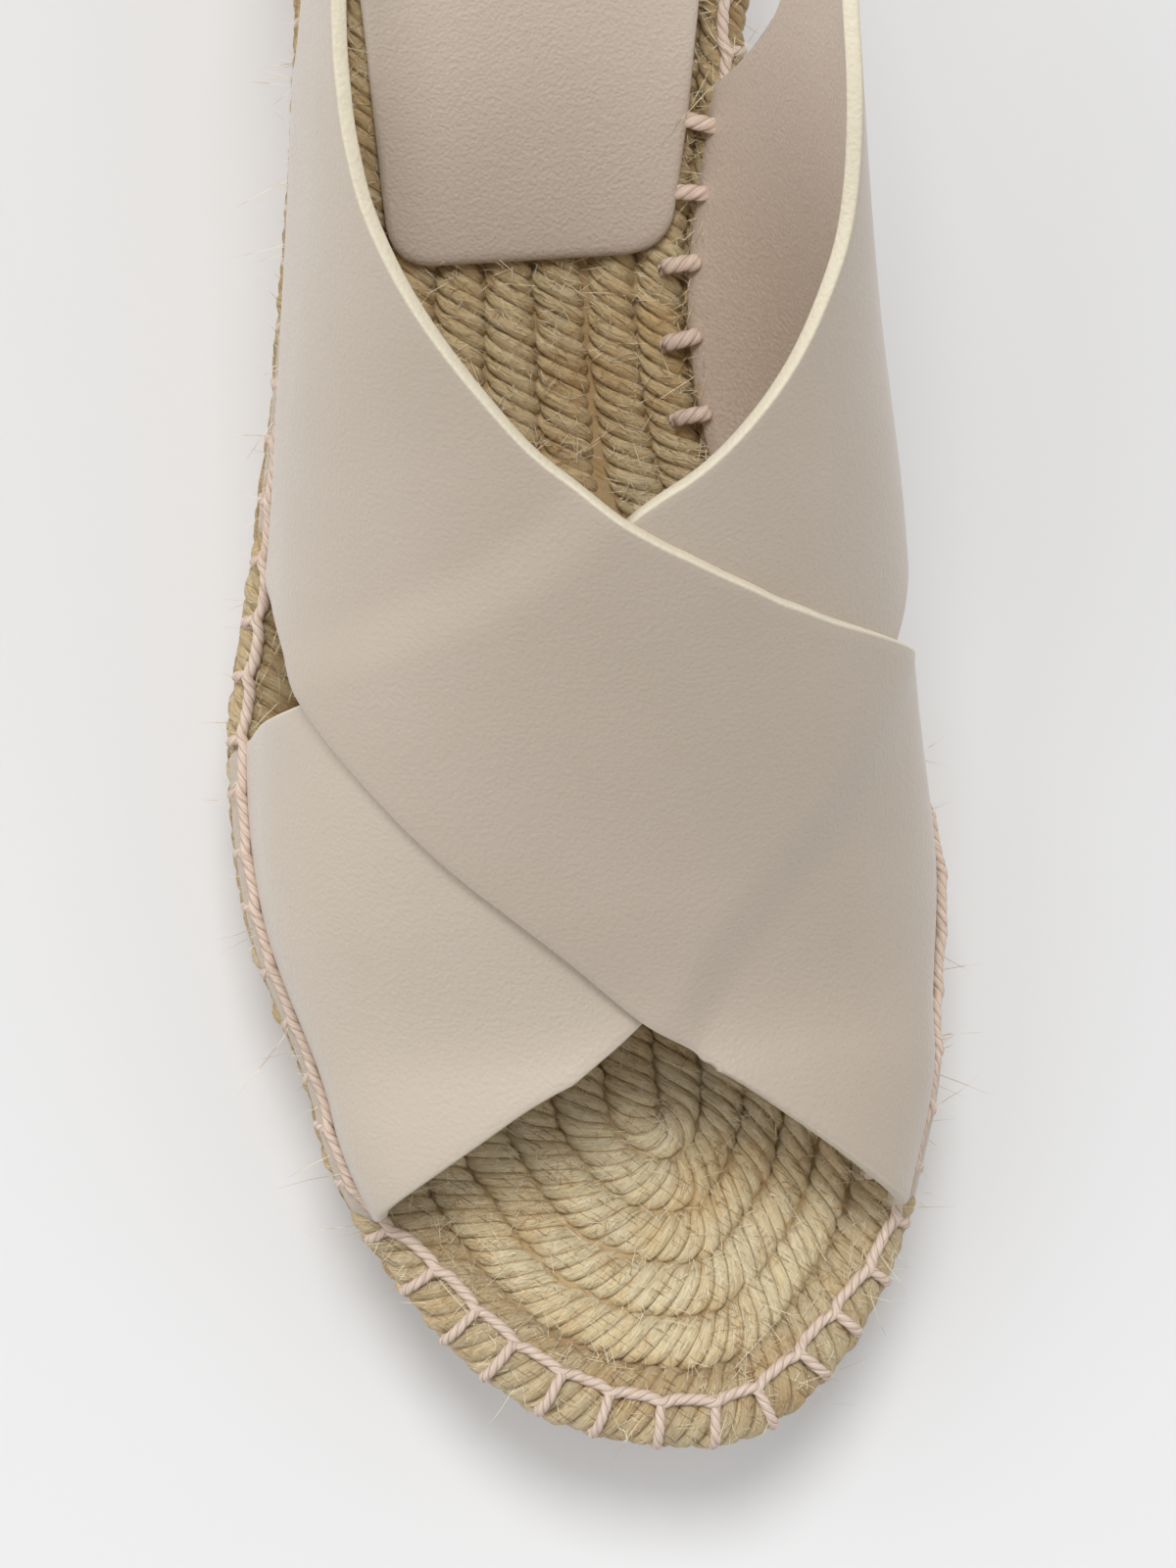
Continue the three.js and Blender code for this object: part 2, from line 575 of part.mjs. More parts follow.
// The upper: both bands as one piece of leather, trimmed level with the top of the rope sole
function upper() {
  const overLift = (at, round) => {
    const settled = smooth(distanceFromUnder(at, round) / CROSSING_RAMP);
    return (LEATHER - BOND) * (1 - settled) * smooth((CROSSING_END - at) / CROSSING_FADE);
  };
  const bands = bandBody(OVER_BAND, 1, overLift).add(bandBody(UNDER_BAND, -1, () => 0));
  const trimTop = (y) => bedTop(y) + GAP;
  const trimFoot = (y) => trimTop(y) - 2 * BED_THICKNESS;
  const trim = solid(ringBody([
    ...faceRings(trimTop, SEAT_INSETS),
    () => ({ out: 2 * RIM_OVERHANG, height: trimTop }),
    () => ({ out: TRIM_REACH, height: trimTop }),
    () => ({ out: TRIM_REACH, height: trimFoot }),
    ...faceRings(trimFoot).reverse(),
  ]));
  return geometryOf(bands.subtract(trim));
}

// The finishes and the finished shoe
const FINISH = {
  leather: { color: 0xc8beb0, roughness: 0.55, metalness: 0 },
  lining: { color: 0xb3a08f, roughness: 0.6, metalness: 0 },
  jute: { color: 0xcdb48c, roughness: 0.95, metalness: 0 },
  rubber: { color: 0xb08d62, roughness: 0.8, metalness: 0 },
};

function piece(name, geometry, finish) {
  const mesh = new THREE.Mesh(geometry, new THREE.MeshStandardMaterial(FINISH[finish]));
  mesh.name = name;
  return mesh;
}

const shoe = new THREE.Group();
shoe.name = 'wedge_sandal';
shoe.add(piece('outsole', outsole(), 'rubber'));
shoe.add(piece('wedge', wedge(), 'jute'));
shoe.add(piece('foot_bed', footBed(), 'jute'));
shoe.add(piece('heel_pad', heelPad(), 'lining'));
shoe.add(piece('upper', upper(), 'leather'));

// The origin is on the floor under the middle of the shoe
const bounds = new THREE.Box3().setFromObject(shoe);
shoe.position.set(-(bounds.min.x + bounds.max.x) / 2, -(bounds.min.y + bounds.max.y) / 2, -bounds.min.z);

export default shoe;
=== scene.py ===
import math

import bpy
import mathutils
import numpy as np
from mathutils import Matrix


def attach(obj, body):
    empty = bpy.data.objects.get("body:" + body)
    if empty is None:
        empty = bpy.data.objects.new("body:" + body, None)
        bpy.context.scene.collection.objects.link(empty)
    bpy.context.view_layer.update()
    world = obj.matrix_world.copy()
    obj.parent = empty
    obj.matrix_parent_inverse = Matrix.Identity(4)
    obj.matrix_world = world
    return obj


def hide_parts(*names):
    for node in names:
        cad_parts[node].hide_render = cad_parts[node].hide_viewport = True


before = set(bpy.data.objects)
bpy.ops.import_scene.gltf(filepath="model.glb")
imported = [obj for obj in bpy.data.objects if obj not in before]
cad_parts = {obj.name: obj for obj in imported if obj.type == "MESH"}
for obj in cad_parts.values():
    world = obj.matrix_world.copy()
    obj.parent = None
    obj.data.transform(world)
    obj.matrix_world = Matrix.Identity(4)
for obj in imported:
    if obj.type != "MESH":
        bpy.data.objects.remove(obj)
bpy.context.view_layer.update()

# Studio
# A pale floor that glows a little, as a light table does, in a white room with a wide lamp high on the
# outer side and a weak one on the inner side. The camera looks straight down on the shoe from about a
# metre, as the photograph does: a little from the outer side and turned in its own plane.
MM = 0.001
CENTRE = np.array([-1.142, 0.721, 0.0])   # from the last's own origin to the middle of the shoe, in mm
CAMERA = {"lean": 6.0, "turn": -5.5, "target": (1.0, -37.0, 30.0), "distance": 1000.0, "lens": 180.0}
FLOOR_SIZE = 16.0
FLOOR_COLOUR, FLOOR_GLOW = (0.66, 0.66, 0.665), 0.13
ROOM = (1.0, 1.0, 1.0)
ROOM_LIGHT = 0.32


def linear(red, green, blue):
    """Scene colour of a screen colour given from 0 to 255: the screen's curve undone."""
    c = np.array([red, green, blue]) / 255
    return (*np.where(c <= 0.04045, c / 12.92, ((c + 0.055) / 1.055) ** 2.4), 1.0)


def unit(v):
    """Vectors of length one along the same directions."""
    return v / np.maximum(np.linalg.norm(v, axis=-1, keepdims=True), 1e-9)


def placed(right, back, eye):
    """The matrix of an object at eye whose right side points along right and which looks against back."""
    up = np.cross(back, right)
    return mathutils.Matrix([[right[k], up[k], back[k], eye[k]] for k in range(3)] + [[0, 0, 0, 1]])


lean, turn = math.radians(CAMERA["lean"]), math.radians(CAMERA["turn"])
back = unit(np.array([-math.sin(lean), 0.0, math.cos(lean)]))
right = unit(np.cross([0.0, 1.0, 0.0], back))
up = np.cross(back, right)
right = math.cos(turn) * right + math.sin(turn) * up
camera = bpy.data.objects.new("camera", bpy.data.cameras.new("camera"))
bpy.context.scene.collection.objects.link(camera)
camera.data.lens = CAMERA["lens"]
camera.data.sensor_width = 36.0
camera.data.clip_end = 20.0
target = np.array(CAMERA["target"]) + CENTRE
camera.matrix_world = placed(right, back, (target + back * CAMERA["distance"]) * MM)
bpy.context.scene.camera = camera

LAMPS = [
    # name, where it shines from, how wide it looks in degrees, strength
    ("overhead", (-0.06, 0.44, 1.0), 20.0, 1.75),
    ("outer_side", (-0.9, 0.1, 0.6), 70.0, 1.08),
    ("inner_side", (0.9, 0.0, 0.6), 70.0, 0.6),
]
for name, toward, wide, strength in LAMPS:
    lamp = bpy.data.objects.new(name, bpy.data.lights.new(name, "SUN"))
    bpy.context.scene.collection.objects.link(lamp)
    lamp.data.angle = math.radians(wide)
    lamp.data.energy = strength
    toward = unit(np.array(toward))
    lamp.matrix_world = placed(unit(np.cross([0.0, 1.0, 0.0], toward)), toward, toward)
world = bpy.data.worlds.new("studio")
world.use_nodes = True
world.node_tree.nodes["Background"].inputs["Color"].default_value = (*ROOM, 1.0)
world.node_tree.nodes["Background"].inputs["Strength"].default_value = ROOM_LIGHT
bpy.context.scene.world = world
bpy.context.scene.view_settings.view_transform = "Standard"

half = FLOOR_SIZE / 2
floor_mesh = bpy.data.meshes.new("floor")
floor_mesh.from_pydata([(-half, -half, 0), (half, -half, 0), (half, half, 0), (-half, half, 0)], [], [(0, 1, 2, 3)])
floor = bpy.data.objects.new("floor", floor_mesh)
bpy.context.scene.collection.objects.link(floor)
floor_finish = bpy.data.materials.new("pale_floor")
floor_finish.use_nodes = True
floor_shader = floor_finish.node_tree.nodes["Principled BSDF"]
floor_shader.inputs["Base Color"].default_value = (*FLOOR_COLOUR, 1.0)
floor_shader.inputs["Roughness"].default_value = 0.9
floor_shader.inputs["Specular IOR Level"].default_value = 0.1
floor_shader.inputs["Emission Color"].default_value = (*ROOM, 1.0)
floor_shader.inputs["Emission Strength"].default_value = FLOOR_GLOW
floor.data.materials.append(floor_finish)


# Outsole
# Natural rubber, moulded with grooves across its tread and glued under the lowest row of rope.
# The solid from the frame is its shape, so it only gets its finish here.
def finish_of(name, shade, roughness):
    """A new material with its shader's plain roughness set, and the tree to add to."""
    material = bpy.data.materials.new(name)
    material.use_nodes = True
    shader = material.node_tree.nodes["Principled BSDF"]
    shader.inputs["Base Color"].default_value = shade
    shader.inputs["Roughness"].default_value = roughness
    return material, material.node_tree, shader


def node(tree, kind, settings=None, **inputs):
    """A node of that kind with its settings and plain input values, or links where an input is a socket."""
    made = tree.nodes.new(kind)
    for key, value in (settings or {}).items():
        setattr(made, key, value)
    for key, value in inputs.items():
        socket = made.inputs[int(key[1:])] if key[0] == "i" and key[1:].isdigit() else made.inputs[key]
        if isinstance(value, bpy.types.NodeSocket):
            tree.links.new(value, socket)
        else:
            socket.default_value = value
    return made


def noise(tree, place, scale, detail=3.0, roughness=0.6, stretch=(1.0, 1.0, 1.0)):
    """Values of a noise that is drawn out along an axis where its stretch is small."""
    mapped = node(tree, "ShaderNodeMapping", i0=place, i3=stretch).outputs[0]
    made = node(tree, "ShaderNodeTexNoise", Vector=mapped, Scale=scale, Detail=detail, Roughness=roughness)
    return made.outputs["Fac"]


def ramp(tree, value, stops):
    """Colours read off a list of (place, colour) stops."""
    made = node(tree, "ShaderNodeValToRGB", i0=value)
    elements = made.color_ramp.elements
    for k, (place, colour) in enumerate(stops):
        stop = elements[k] if k < 2 else elements.new(place)
        stop.position = place
        stop.color = colour
    return made.outputs["Color"]


def blend(tree, mode, amount, first, second):
    """Two colours mixed in that mode."""
    made = node(tree, "ShaderNodeMix", {"data_type": "RGBA", "blend_type": mode}, i0=amount, i6=first, i7=second)
    return made.outputs[2]


def bump(tree, height, strength, distance, under=None):
    """A relief of that height in metres on top of another relief."""
    made = node(tree, "ShaderNodeBump", Strength=strength, Distance=distance, Height=height)
    if under is not None:
        tree.links.new(under, made.inputs["Normal"])
    return made.outputs["Normal"]


def rubber_finish():
    """Matte crepe rubber: honey brown with a faint cloud and a fine skin."""
    material, tree, shader = finish_of("crepe_rubber", linear(176, 141, 98), 0.7)
    place = node(tree, "ShaderNodeTexCoord").outputs["Object"]
    cloud = ramp(tree, noise(tree, place, 90.0), [(0.3, linear(158, 122, 80)), (0.7, linear(186, 152, 108))])
    tree.links.new(cloud, shader.inputs["Base Color"])
    tree.links.new(bump(tree, noise(tree, place, 1500.0), 0.4, 0.0002), shader.inputs["Normal"])
    return material


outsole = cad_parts["outsole"]
outsole.data.materials.clear()
outsole.data.materials.append(rubber_finish())

# Wedge
# Rows of jute rope, level with the floor and glued one on another, cut off under the slope of the foot
# bed. Each rope is laid from five strands that turn to the left. A plain core fills the space inside.
# The last's sections from toe to heel, in mm: half widths to both sides of its spine, the spine, the
# crest's rise and lean over the bed, and the bulge and height of the widest line on each side.
SECTIONS = np.array([
    # share, outer, inner, spine, rise, lean, bulge outer, bulge inner, girth outer, girth inner
    (0.000, 45.90, 45.90, 9.49, 25.2, 0.0, 0.00, 0.00, 8.1, 8.1),
    (0.063, 44.90, 38.20, 9.49, 25.2, 0.0, 0.00, 0.00, 8.1, 6.0),
    (0.127, 42.70, 31.80, 9.49, 25.2, 0.0, 0.00, 0.00, 8.1, 4.2),
    (0.190, 44.30, 32.00, 9.49, 25.2, 0.0, 0.00, 0.00, 8.1, 4.2),
    (0.200, 44.60, 32.26, 9.32, 25.2, 0.0, 0.00, 0.00, 8.1, 4.2),
    (0.290, 47.80, 36.60, 6.97, 35.7, 0.7, 0.00, 0.00, 10.0, 5.0),
    (0.380, 46.20, 32.42, 5.04, 48.3, 4.2, 0.00, 2.52, 12.1, 14.0),
    (0.480, 38.60, 21.51, 2.52, 60.2, 7.0, 1.96, 12.26, 18.1, 24.1),
    (0.580, 32.40, 18.99, 1.01, 69.3, 9.8, 5.70, 10.92, 29.8, 33.3),
    (0.700, 27.10, 24.42, 0.00, 84.0, 11.2, 7.70, 2.18, 40.3, 46.2),
    (0.800, 24.60, 27.81, 0.00, 91.7, 9.1, 6.70, 1.01, 39.4, 42.2),
    (0.865, 25.10, 28.03, 0.00, 95.9, 6.3, 4.80, 1.51, 31.6, 31.6),
    (0.930, 27.40, 29.80, 0.00, 95.9, 4.2, 3.70, 1.68, 24.0, 24.0),
    (1.000, 32.40, 32.40, 0.00, 95.9, 0.0, 2.02, 2.02, 20.1, 20.1),
])
OUTER, INNER, SPINE, RISE, LEAN, BULGE_OUT, BULGE_IN, GIRTH_OUT, GIRTH_IN = range(1, 10)
PROFILE = np.array([
    # share of the length, share of the climb to the heel, share of the toe spring
    (0.0, 0.000, 1.00), (0.1, 0.000, 0.36), (0.2, 0.000, 0.07), (0.3, 0.000, 0.00),
    (0.4, 0.055, 0.00), (0.5, 0.208, 0.00), (0.6, 0.417, 0.00), (0.7, 0.639, 0.00),
    (0.8, 0.819, 0.00), (0.9, 0.944, 0.00), (1.0, 1.000, 0.00),
])
LENGTH, TOE_SPRING, FOREFOOT, HEEL = 240.0, 7.0, 24.0, 60.0
TOE_FAN, HEEL_FAN = 0.19, 0.865
BED, GAP, RUBBER = 7.0, 0.3, 4.0
RIM_OUT = 2.5                  # how far the rim rope stands outside the last
ROW = (FOREFOOT - BED - RUBBER - 2 * GAP) / 2
SIDE_LEAN, HEEL_TUCK = 0.06, 2.0


def smooth(t):
    """An even step from 0 to 1."""
    t = np.clip(t, 0.0, 1.0)
    return t * t * (3 - 2 * t)


def curve(xs, ys, x):
    """A smooth curve through points, level at its ends: cubic pieces whose slopes are the mean of the
    two neighbouring slopes, each weighted by the other's length."""
    x = np.clip(x, xs[0], xs[-1])
    steps = np.diff(xs)
    rises = np.diff(ys) / steps
    slopes = np.zeros(len(xs))
    slopes[1:-1] = (rises[:-1] * steps[1:] + rises[1:] * steps[:-1]) / (steps[1:] + steps[:-1])
    i = np.clip(np.searchsorted(xs, x, side="right") - 1, 0, len(xs) - 2)
    t = (x - xs[i]) / steps[i]
    ease = t * t * (3 - 2 * t)
    bend = t * (1 - t) ** 2 * steps[i] * slopes[i] - t * t * (1 - t) * steps[i] * slopes[i + 1]
    return ys[i] * (1 - ease) + ys[i + 1] * ease + bend


def section(column, at):
    """One column of the last's sections at a share of the way from toe to heel."""
    return curve(SECTIONS[:, 0], SECTIONS[:, column], at)


def floor_lift(y):
    """Height of the outsole's underside over the floor: the toe spring."""
    return TOE_SPRING * np.maximum(0, curve(PROFILE[:, 0], PROFILE[:, 2], y / LENGTH + 0.5))


def bed_top(y):
    """Height of the foot bed's top over the floor."""
    return FOREFOOT + (HEEL - FOREFOOT) * curve(PROFILE[:, 0], PROFILE[:, 1], y / LENGTH + 0.5) + floor_lift(y)


def reach(at, side):
    """Half width of the last on the outer side (-1) or the inner side (1)."""
    return np.where(np.asarray(side) < 0, section(OUTER, at), section(INNER, at))


def spoke(at, side):
    """Where a spoke starts on the spine, and its direction: a fan round the toe, straight across the
    foot, and a fan round the heel."""
    root = np.clip(at, TOE_FAN, HEEL_FAN)
    toe = np.pi / 2 * np.clip(at / TOE_FAN, 0, 1)
    heel = np.pi / 2 * np.clip((at - HEEL_FAN) / (1 - HEEL_FAN), 0, 1)
    start = np.stack([section(SPINE, root), LENGTH * (root - 0.5)], -1)
    return start, np.stack([side * np.sin(toe) * np.cos(heel), np.sin(heel) - np.cos(toe)], -1)


def round_the_sole(count):
    """Evenly spaced places (share, side) round the sole: toe to heel outside, back to the toe inside."""
    fine = np.linspace(0, 1, 2000)
    at = np.concatenate([fine, fine[-2:0:-1]])
    side = np.concatenate([-np.ones(2000), np.ones(1998)])
    start, way = spoke(at, side)
    edge = start + way * reach(at, side)[:, None]
    run = np.concatenate([[0], np.cumsum(np.linalg.norm(np.diff(np.vstack([edge, edge[:1]]), axis=0), axis=1))])
    spots = np.linspace(0, run[-1], count, endpoint=False)
    k = np.interp(spots, run, np.arange(len(run)))
    near = np.round(k).astype(int) % len(at)
    turn_at = np.concatenate([at, at[:1]])
    return np.interp(k, np.arange(len(run)), turn_at), side[near]


def sole_line(at, side, out):
    """Places that lie out mm outside the last's edge, square to it, and the outward direction."""
    def edge(a):
        start, way = spoke(a, side)
        return start + way * reach(a, side)[:, None]
    step = 0.002
    run = unit(edge(np.clip(at + step, 0, 1)) - edge(np.clip(at - step, 0, 1)))
    normal = np.stack([run[:, 1], -run[:, 0]], -1) * side[:, None]
    return edge(at) + normal * np.broadcast_to(out, at.shape)[:, None], normal


def grid_faces(rows, columns, wrap_columns=True, wrap_rows=False):
    """Four-sided faces between neighbours of a grid of points, closed round its columns or rows."""
    i = np.arange(rows if wrap_rows else rows - 1)[:, None]
    j = np.arange(columns if wrap_columns else columns - 1)[None, :]
    here = i * columns + j
    beside = i * columns + (j + 1) % columns
    over = (i + 1) % rows * columns
    return np.stack([here, beside, over + (j + 1) % columns, over + j], -1).reshape(-1, 4)


def make_piece(name, points, faces, material, stands_for=(), caps=(), uv=None, marks=None):
    """A mesh piece from points in mm and four-sided faces, with caps of any number of corners, a UV for
    each corner of the faces, and marks, which are values for each point that the finish reads."""
    mesh = bpy.data.meshes.new(name)
    corners = np.concatenate([faces.ravel(), *[np.asarray(c) for c in caps]]).astype(np.int32)
    sizes = np.concatenate([np.full(len(faces), 4), [len(c) for c in caps]]).astype(int)
    mesh.vertices.add(len(points))
    mesh.vertices.foreach_set("co", ((points + CENTRE) * MM).astype(np.float32).ravel())
    mesh.loops.add(len(corners))
    mesh.loops.foreach_set("vertex_index", corners)
    mesh.polygons.add(len(sizes))
    mesh.polygons.foreach_set("loop_start", (np.cumsum(sizes) - sizes).astype(np.int32))
    mesh.update(calc_edges=True)
    mesh.polygons.foreach_set("use_smooth", np.ones(len(sizes), bool))
    if uv is not None:
        layer = mesh.uv_layers.new(name="strand")
        flat = np.zeros((len(corners), 2), np.float32)
        flat[:len(uv)] = uv
        layer.data.foreach_set("uv", flat.ravel())
    for key, values in (marks or {}).items():
        mesh.attributes.new(key, "FLOAT", "POINT").data.foreach_set("value", values.astype(np.float32))
    mesh.materials.append(material)
    piece = bpy.data.objects.new(name, mesh)
    bpy.context.scene.collection.objects.link(piece)
    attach(piece, "root")
    if stands_for:
        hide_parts(*stands_for)
    return piece


# Places of one strand's outline between two grooves, denser near the grooves, and how near each is to one
LOBE = np.array([0.0, 0.13, 0.36, 0.64, 0.87])


def laid_rope(path, upward, width, height, lead, strands=5, depth=0.24, closed=False, seed=0, square=2.4):
    """One laid rope along a path of points. Its outline is a rounded box, width by height in mm, drawn
    in at a groove between each two strands, and the outline's points turn to the left round the path,
    once for each lead, so that the grid runs along the strands. Returns points, faces, caps, UVs and
    marks: groove is 1 in a groove and 0 on a strand's crest."""
    rng = np.random.default_rng(seed)
    width, height = (np.broadcast_to(v, len(path)).astype(float) for v in (width, height))
    if closed:
        ahead, behind = np.roll(path, -1, 0), np.roll(path, 1, 0)
    else:
        ahead, behind = np.vstack([path[1:], path[-1:]]), np.vstack([path[:1], path[:-1]])
    tangent = unit(ahead - behind)
    rise = unit(upward - (upward * tangent).sum(1, keepdims=True) * tangent)
    across = np.cross(rise, tangent)
    step = np.linalg.norm(ahead - path, axis=1)
    run = np.concatenate([[0], np.cumsum(step)[:-1]])
    total = run[-1] + step[-1]
    turns = round(total / lead) if closed else total / lead
    columns = strands * len(LOBE)
    share = (np.arange(strands)[:, None] + LOBE[None, :]).ravel() / strands
    near = np.abs(2 * (share * strands % 1) - 1)
    angle = 2 * np.pi * (share[None, :] - turns * (run / total)[:, None])
    strand = np.repeat(rng.uniform(0, 2 * np.pi, (3, strands)), len(LOBE), axis=1)
    waves = np.array([2 * np.pi * round(total / w) / total for w in (41.0, 17.0, 9.0)])
    drift = sum(a * np.sin(waves[k] * run[:, None] + strand[k]) for k, a in enumerate((0.05, 0.04, 0.03)))
    bulge = (1 - depth * near ** 3)[None, :] * (1 + drift)
    box = (np.abs(np.cos(angle)) ** square + np.abs(np.sin(angle)) ** square) ** (-1 / square)
    x = np.cos(angle) * box * bulge * width[:, None] / 2
    z = np.sin(angle) * box * bulge * height[:, None] / 2
    points = path[:, None] + x[..., None] * across[:, None] + z[..., None] * rise[:, None]
    faces = grid_faces(len(path), columns, True, closed)
    rows = np.arange(len(path) + closed)
    along = np.append(run, total) if closed else run
    lanes = np.append(share, 1.0) * strands + seed * 7
    u, v = np.meshgrid(along[rows], lanes, indexing="ij")
    corner = np.stack([u, v * 3.0], -1)
    corner[..., 0] += seed * 31.0
    uv = np.stack([corner[:-1, :-1], corner[:-1, 1:], corner[1:, 1:], corner[1:, :-1]], 2).reshape(-1, 2)
    caps = [] if closed else [np.arange(columns)[::-1], np.arange(columns) + (len(path) - 1) * columns]
    marks = np.broadcast_to(near, (len(path), columns)).ravel()
    return points.reshape(-1, 3), faces, caps, uv, marks


def join(parts):
    """Several ropes as one mesh: their points one after another, with the faces counted on."""
    points, faces, caps, uvs, marks = [], [], [], [], []
    count = 0
    for p, f, c, uv, m in parts:
        points.append(p)
        faces.append(f + count)
        caps += [np.asarray(cap) + count for cap in c]
        uvs.append(uv)
        marks.append(m)
        count += len(p)
    return np.vstack(points), np.vstack(faces), caps, np.vstack(uvs), np.concatenate(marks)


def jute_finish(name, crest, mid, low, groove_shade_colour):
    """Raw jute: long streaks of fibre along each strand, loose fibres that lie across them, clouds of paler and browner
    rope, painted shade that darkens the rope towards the heel and all along the rim rope, painted shade in the grooves
    where the mark groove is high, and a relief of fibres."""
    material, tree, shader = finish_of(name, mid, 0.75)
    shader.inputs["Specular IOR Level"].default_value = 0.3
    shader.inputs["Sheen Weight"].default_value = 0.12
    shader.inputs["Sheen Roughness"].default_value = 0.5
    strand = node(tree, "ShaderNodeUVMap", {"uv_map": "strand"}).outputs["UV"]
    place = node(tree, "ShaderNodeTexCoord").outputs["Object"]
    streak = noise(tree, strand, 1.0, 4.0, 0.65, (0.25, 2.6, 1.0))
    fibre = noise(tree, strand, 1.0, 3.0, 0.75, (0.6, 11.0, 1.0))
    colour = ramp(tree, streak, [(0.3, low), (0.5, mid), (0.7, crest)])
    thread = ramp(tree, fibre, [(0.34, linear(146, 112, 72)), (0.44, linear(240, 230, 210)),
                                (0.6, linear(255, 255, 255))])
    colour = blend(tree, "MULTIPLY", 0.7, colour, thread)
    for turn, stretch, tint in ((0.7, (260.0, 2600.0, 1.0), linear(172, 142, 98)),
                                (2.3, (320.0, 3200.0, 1.0), linear(255, 246, 222))):
        turned = node(tree, "ShaderNodeMapping", i0=place, i2=(0.0, 0.0, turn)).outputs[0]
        loose = noise(tree, turned, 1.0, 2.0, 0.5, stretch)
        shown = node(tree, "ShaderNodeMapRange", Value=loose, i1=0.6, i2=0.66, i3=0.0, i4=0.7).outputs[0]
        colour = blend(tree, "MIX", shown, colour, tint)
    cloud = ramp(tree, noise(tree, place, 75.0, 2.0), [(0.3, linear(240, 222, 194)), (0.55, linear(255, 255, 255))])
    colour = blend(tree, "MULTIPLY", 0.65, colour, cloud)
    # Painted shade: the rope turns darker from the forefoot back towards the heel, where the middle of the bed lies
    # deeper in shade.
    toward_heel = node(tree, "ShaderNodeSeparateXYZ", i0=place).outputs["Y"]
    painted_heel_shade = node(tree, "ShaderNodeMapRange", Value=toward_heel, i1=-0.06, i2=0.01, i3=0.0, i4=1.0).outputs[0]
    colour = blend(tree, "MULTIPLY", painted_heel_shade, colour, linear(238, 232, 222))
    # Painted shade: the whole rim rope is darkened, for the shade where it curves down to the side away from the light
    # above.
    rim = node(tree, "ShaderNodeAttribute", {"attribute_name": "rim"}).outputs["Fac"]
    colour = blend(tree, "MULTIPLY", rim, colour, linear(226, 221, 216))
    # Painted shade in the grooves between strands: the last colour is mixed in where the mark groove is near 1.
    groove = node(tree, "ShaderNodeAttribute", {"attribute_name": "groove"}).outputs["Fac"]
    painted_groove_shade = node(tree, "ShaderNodeMapRange", Value=groove, i1=0.82, i2=1.0, i3=0.0, i4=0.6).outputs[0]
    colour = blend(tree, "MIX", painted_groove_shade, colour, groove_shade_colour)
    tree.links.new(colour, shader.inputs["Base Color"])
    relief = bump(tree, fibre, 0.7, 0.0004, bump(tree, streak, 0.6, 0.0007))
    tree.links.new(relief, shader.inputs["Normal"])
    return material


# The last colour given is the painted shade for the grooves.
side_jute = jute_finish("jute_side", linear(238, 220, 184), linear(222, 198, 156), linear(190, 162, 118),
                        linear(112, 88, 56))
WEDGE_STEP = 1.1               # mm between rings of points along the rope
WEDGE_LEAD = 13.0


tallest = HEEL - BED - RUBBER - 2 * GAP


def side_out(at, depth):
    """How far the sole's side stands outside the last, that many mm under the foot bed's underside."""
    return RIM_OUT - SIDE_LEAN * depth - HEEL_TUCK * smooth((at - 0.8) / 0.2) * depth / tallest


at, side = round_the_sole(int(640 / WEDGE_STEP))
rows = []
for row in range(int(math.ceil(tallest / ROW))):
    middle = (row + 0.5) * ROW
    edge, _ = sole_line(at, side, 0.0)
    room = bed_top(edge[:, 1]) - floor_lift(edge[:, 1]) - BED - RUBBER - 2 * GAP - row * ROW
    here = room > 1.2
    width = 7.4
    line, _ = sole_line(at, side, side_out(at, room + row * ROW - middle) - width / 2)
    tall = np.clip(room, 0.8, ROW + 0.5)
    z = floor_lift(line[:, 1]) + RUBBER + GAP + row * ROW + np.minimum(room, ROW) / 2
    path = np.column_stack([line, z])
    if here.all():
        keep = np.arange(len(at))
    else:
        first = np.flatnonzero(here & ~np.roll(here, 1))[0]
        keep = (first + np.arange(here.sum())) % len(at)
    rows.append(laid_rope(path[keep], np.tile([0.0, 0.0, 1.0], (len(keep), 1)), width, tall[keep],
                          WEDGE_LEAD, depth=0.17, closed=bool(here.all()), seed=40 + row))
core_at, core_side = round_the_sole(300)
inset, _ = sole_line(core_at, core_side, side_out(core_at, 20.0) - 4.2)
spine, _ = spoke(core_at, core_side)
foot_z = floor_lift(inset[:, 1]) + RUBBER + GAP
head_z = bed_top(inset[:, 1]) - BED - GAP
rings = [np.column_stack([spine + (inset - spine) * f, z]) for f, z in (
    (0.0, bed_top(spine[:, 1]) - BED - GAP), (0.5, bed_top((spine + (inset - spine) * 0.5)[:, 1]) - BED - GAP),
    (1.0, head_z), (1.0, foot_z), (0.5, floor_lift((spine + (inset - spine) * 0.5)[:, 1]) + RUBBER + GAP),
    (0.0, floor_lift(spine[:, 1]) + RUBBER + GAP))]
core_points = np.vstack(rings)
core_faces = grid_faces(len(rings), len(core_at))[:, ::-1]
# The core's points are all marked groove, so the finish lays the painted groove shade over all of it.
core = (core_points, core_faces, [], np.zeros((len(core_faces) * 4, 2)), np.ones(len(core_points)))
points, faces, caps, uv, groove = join([core, *rows])
make_piece("wedge_rope", points, faces, side_jute, ("wedge",), caps, uv, {"groove": groove})

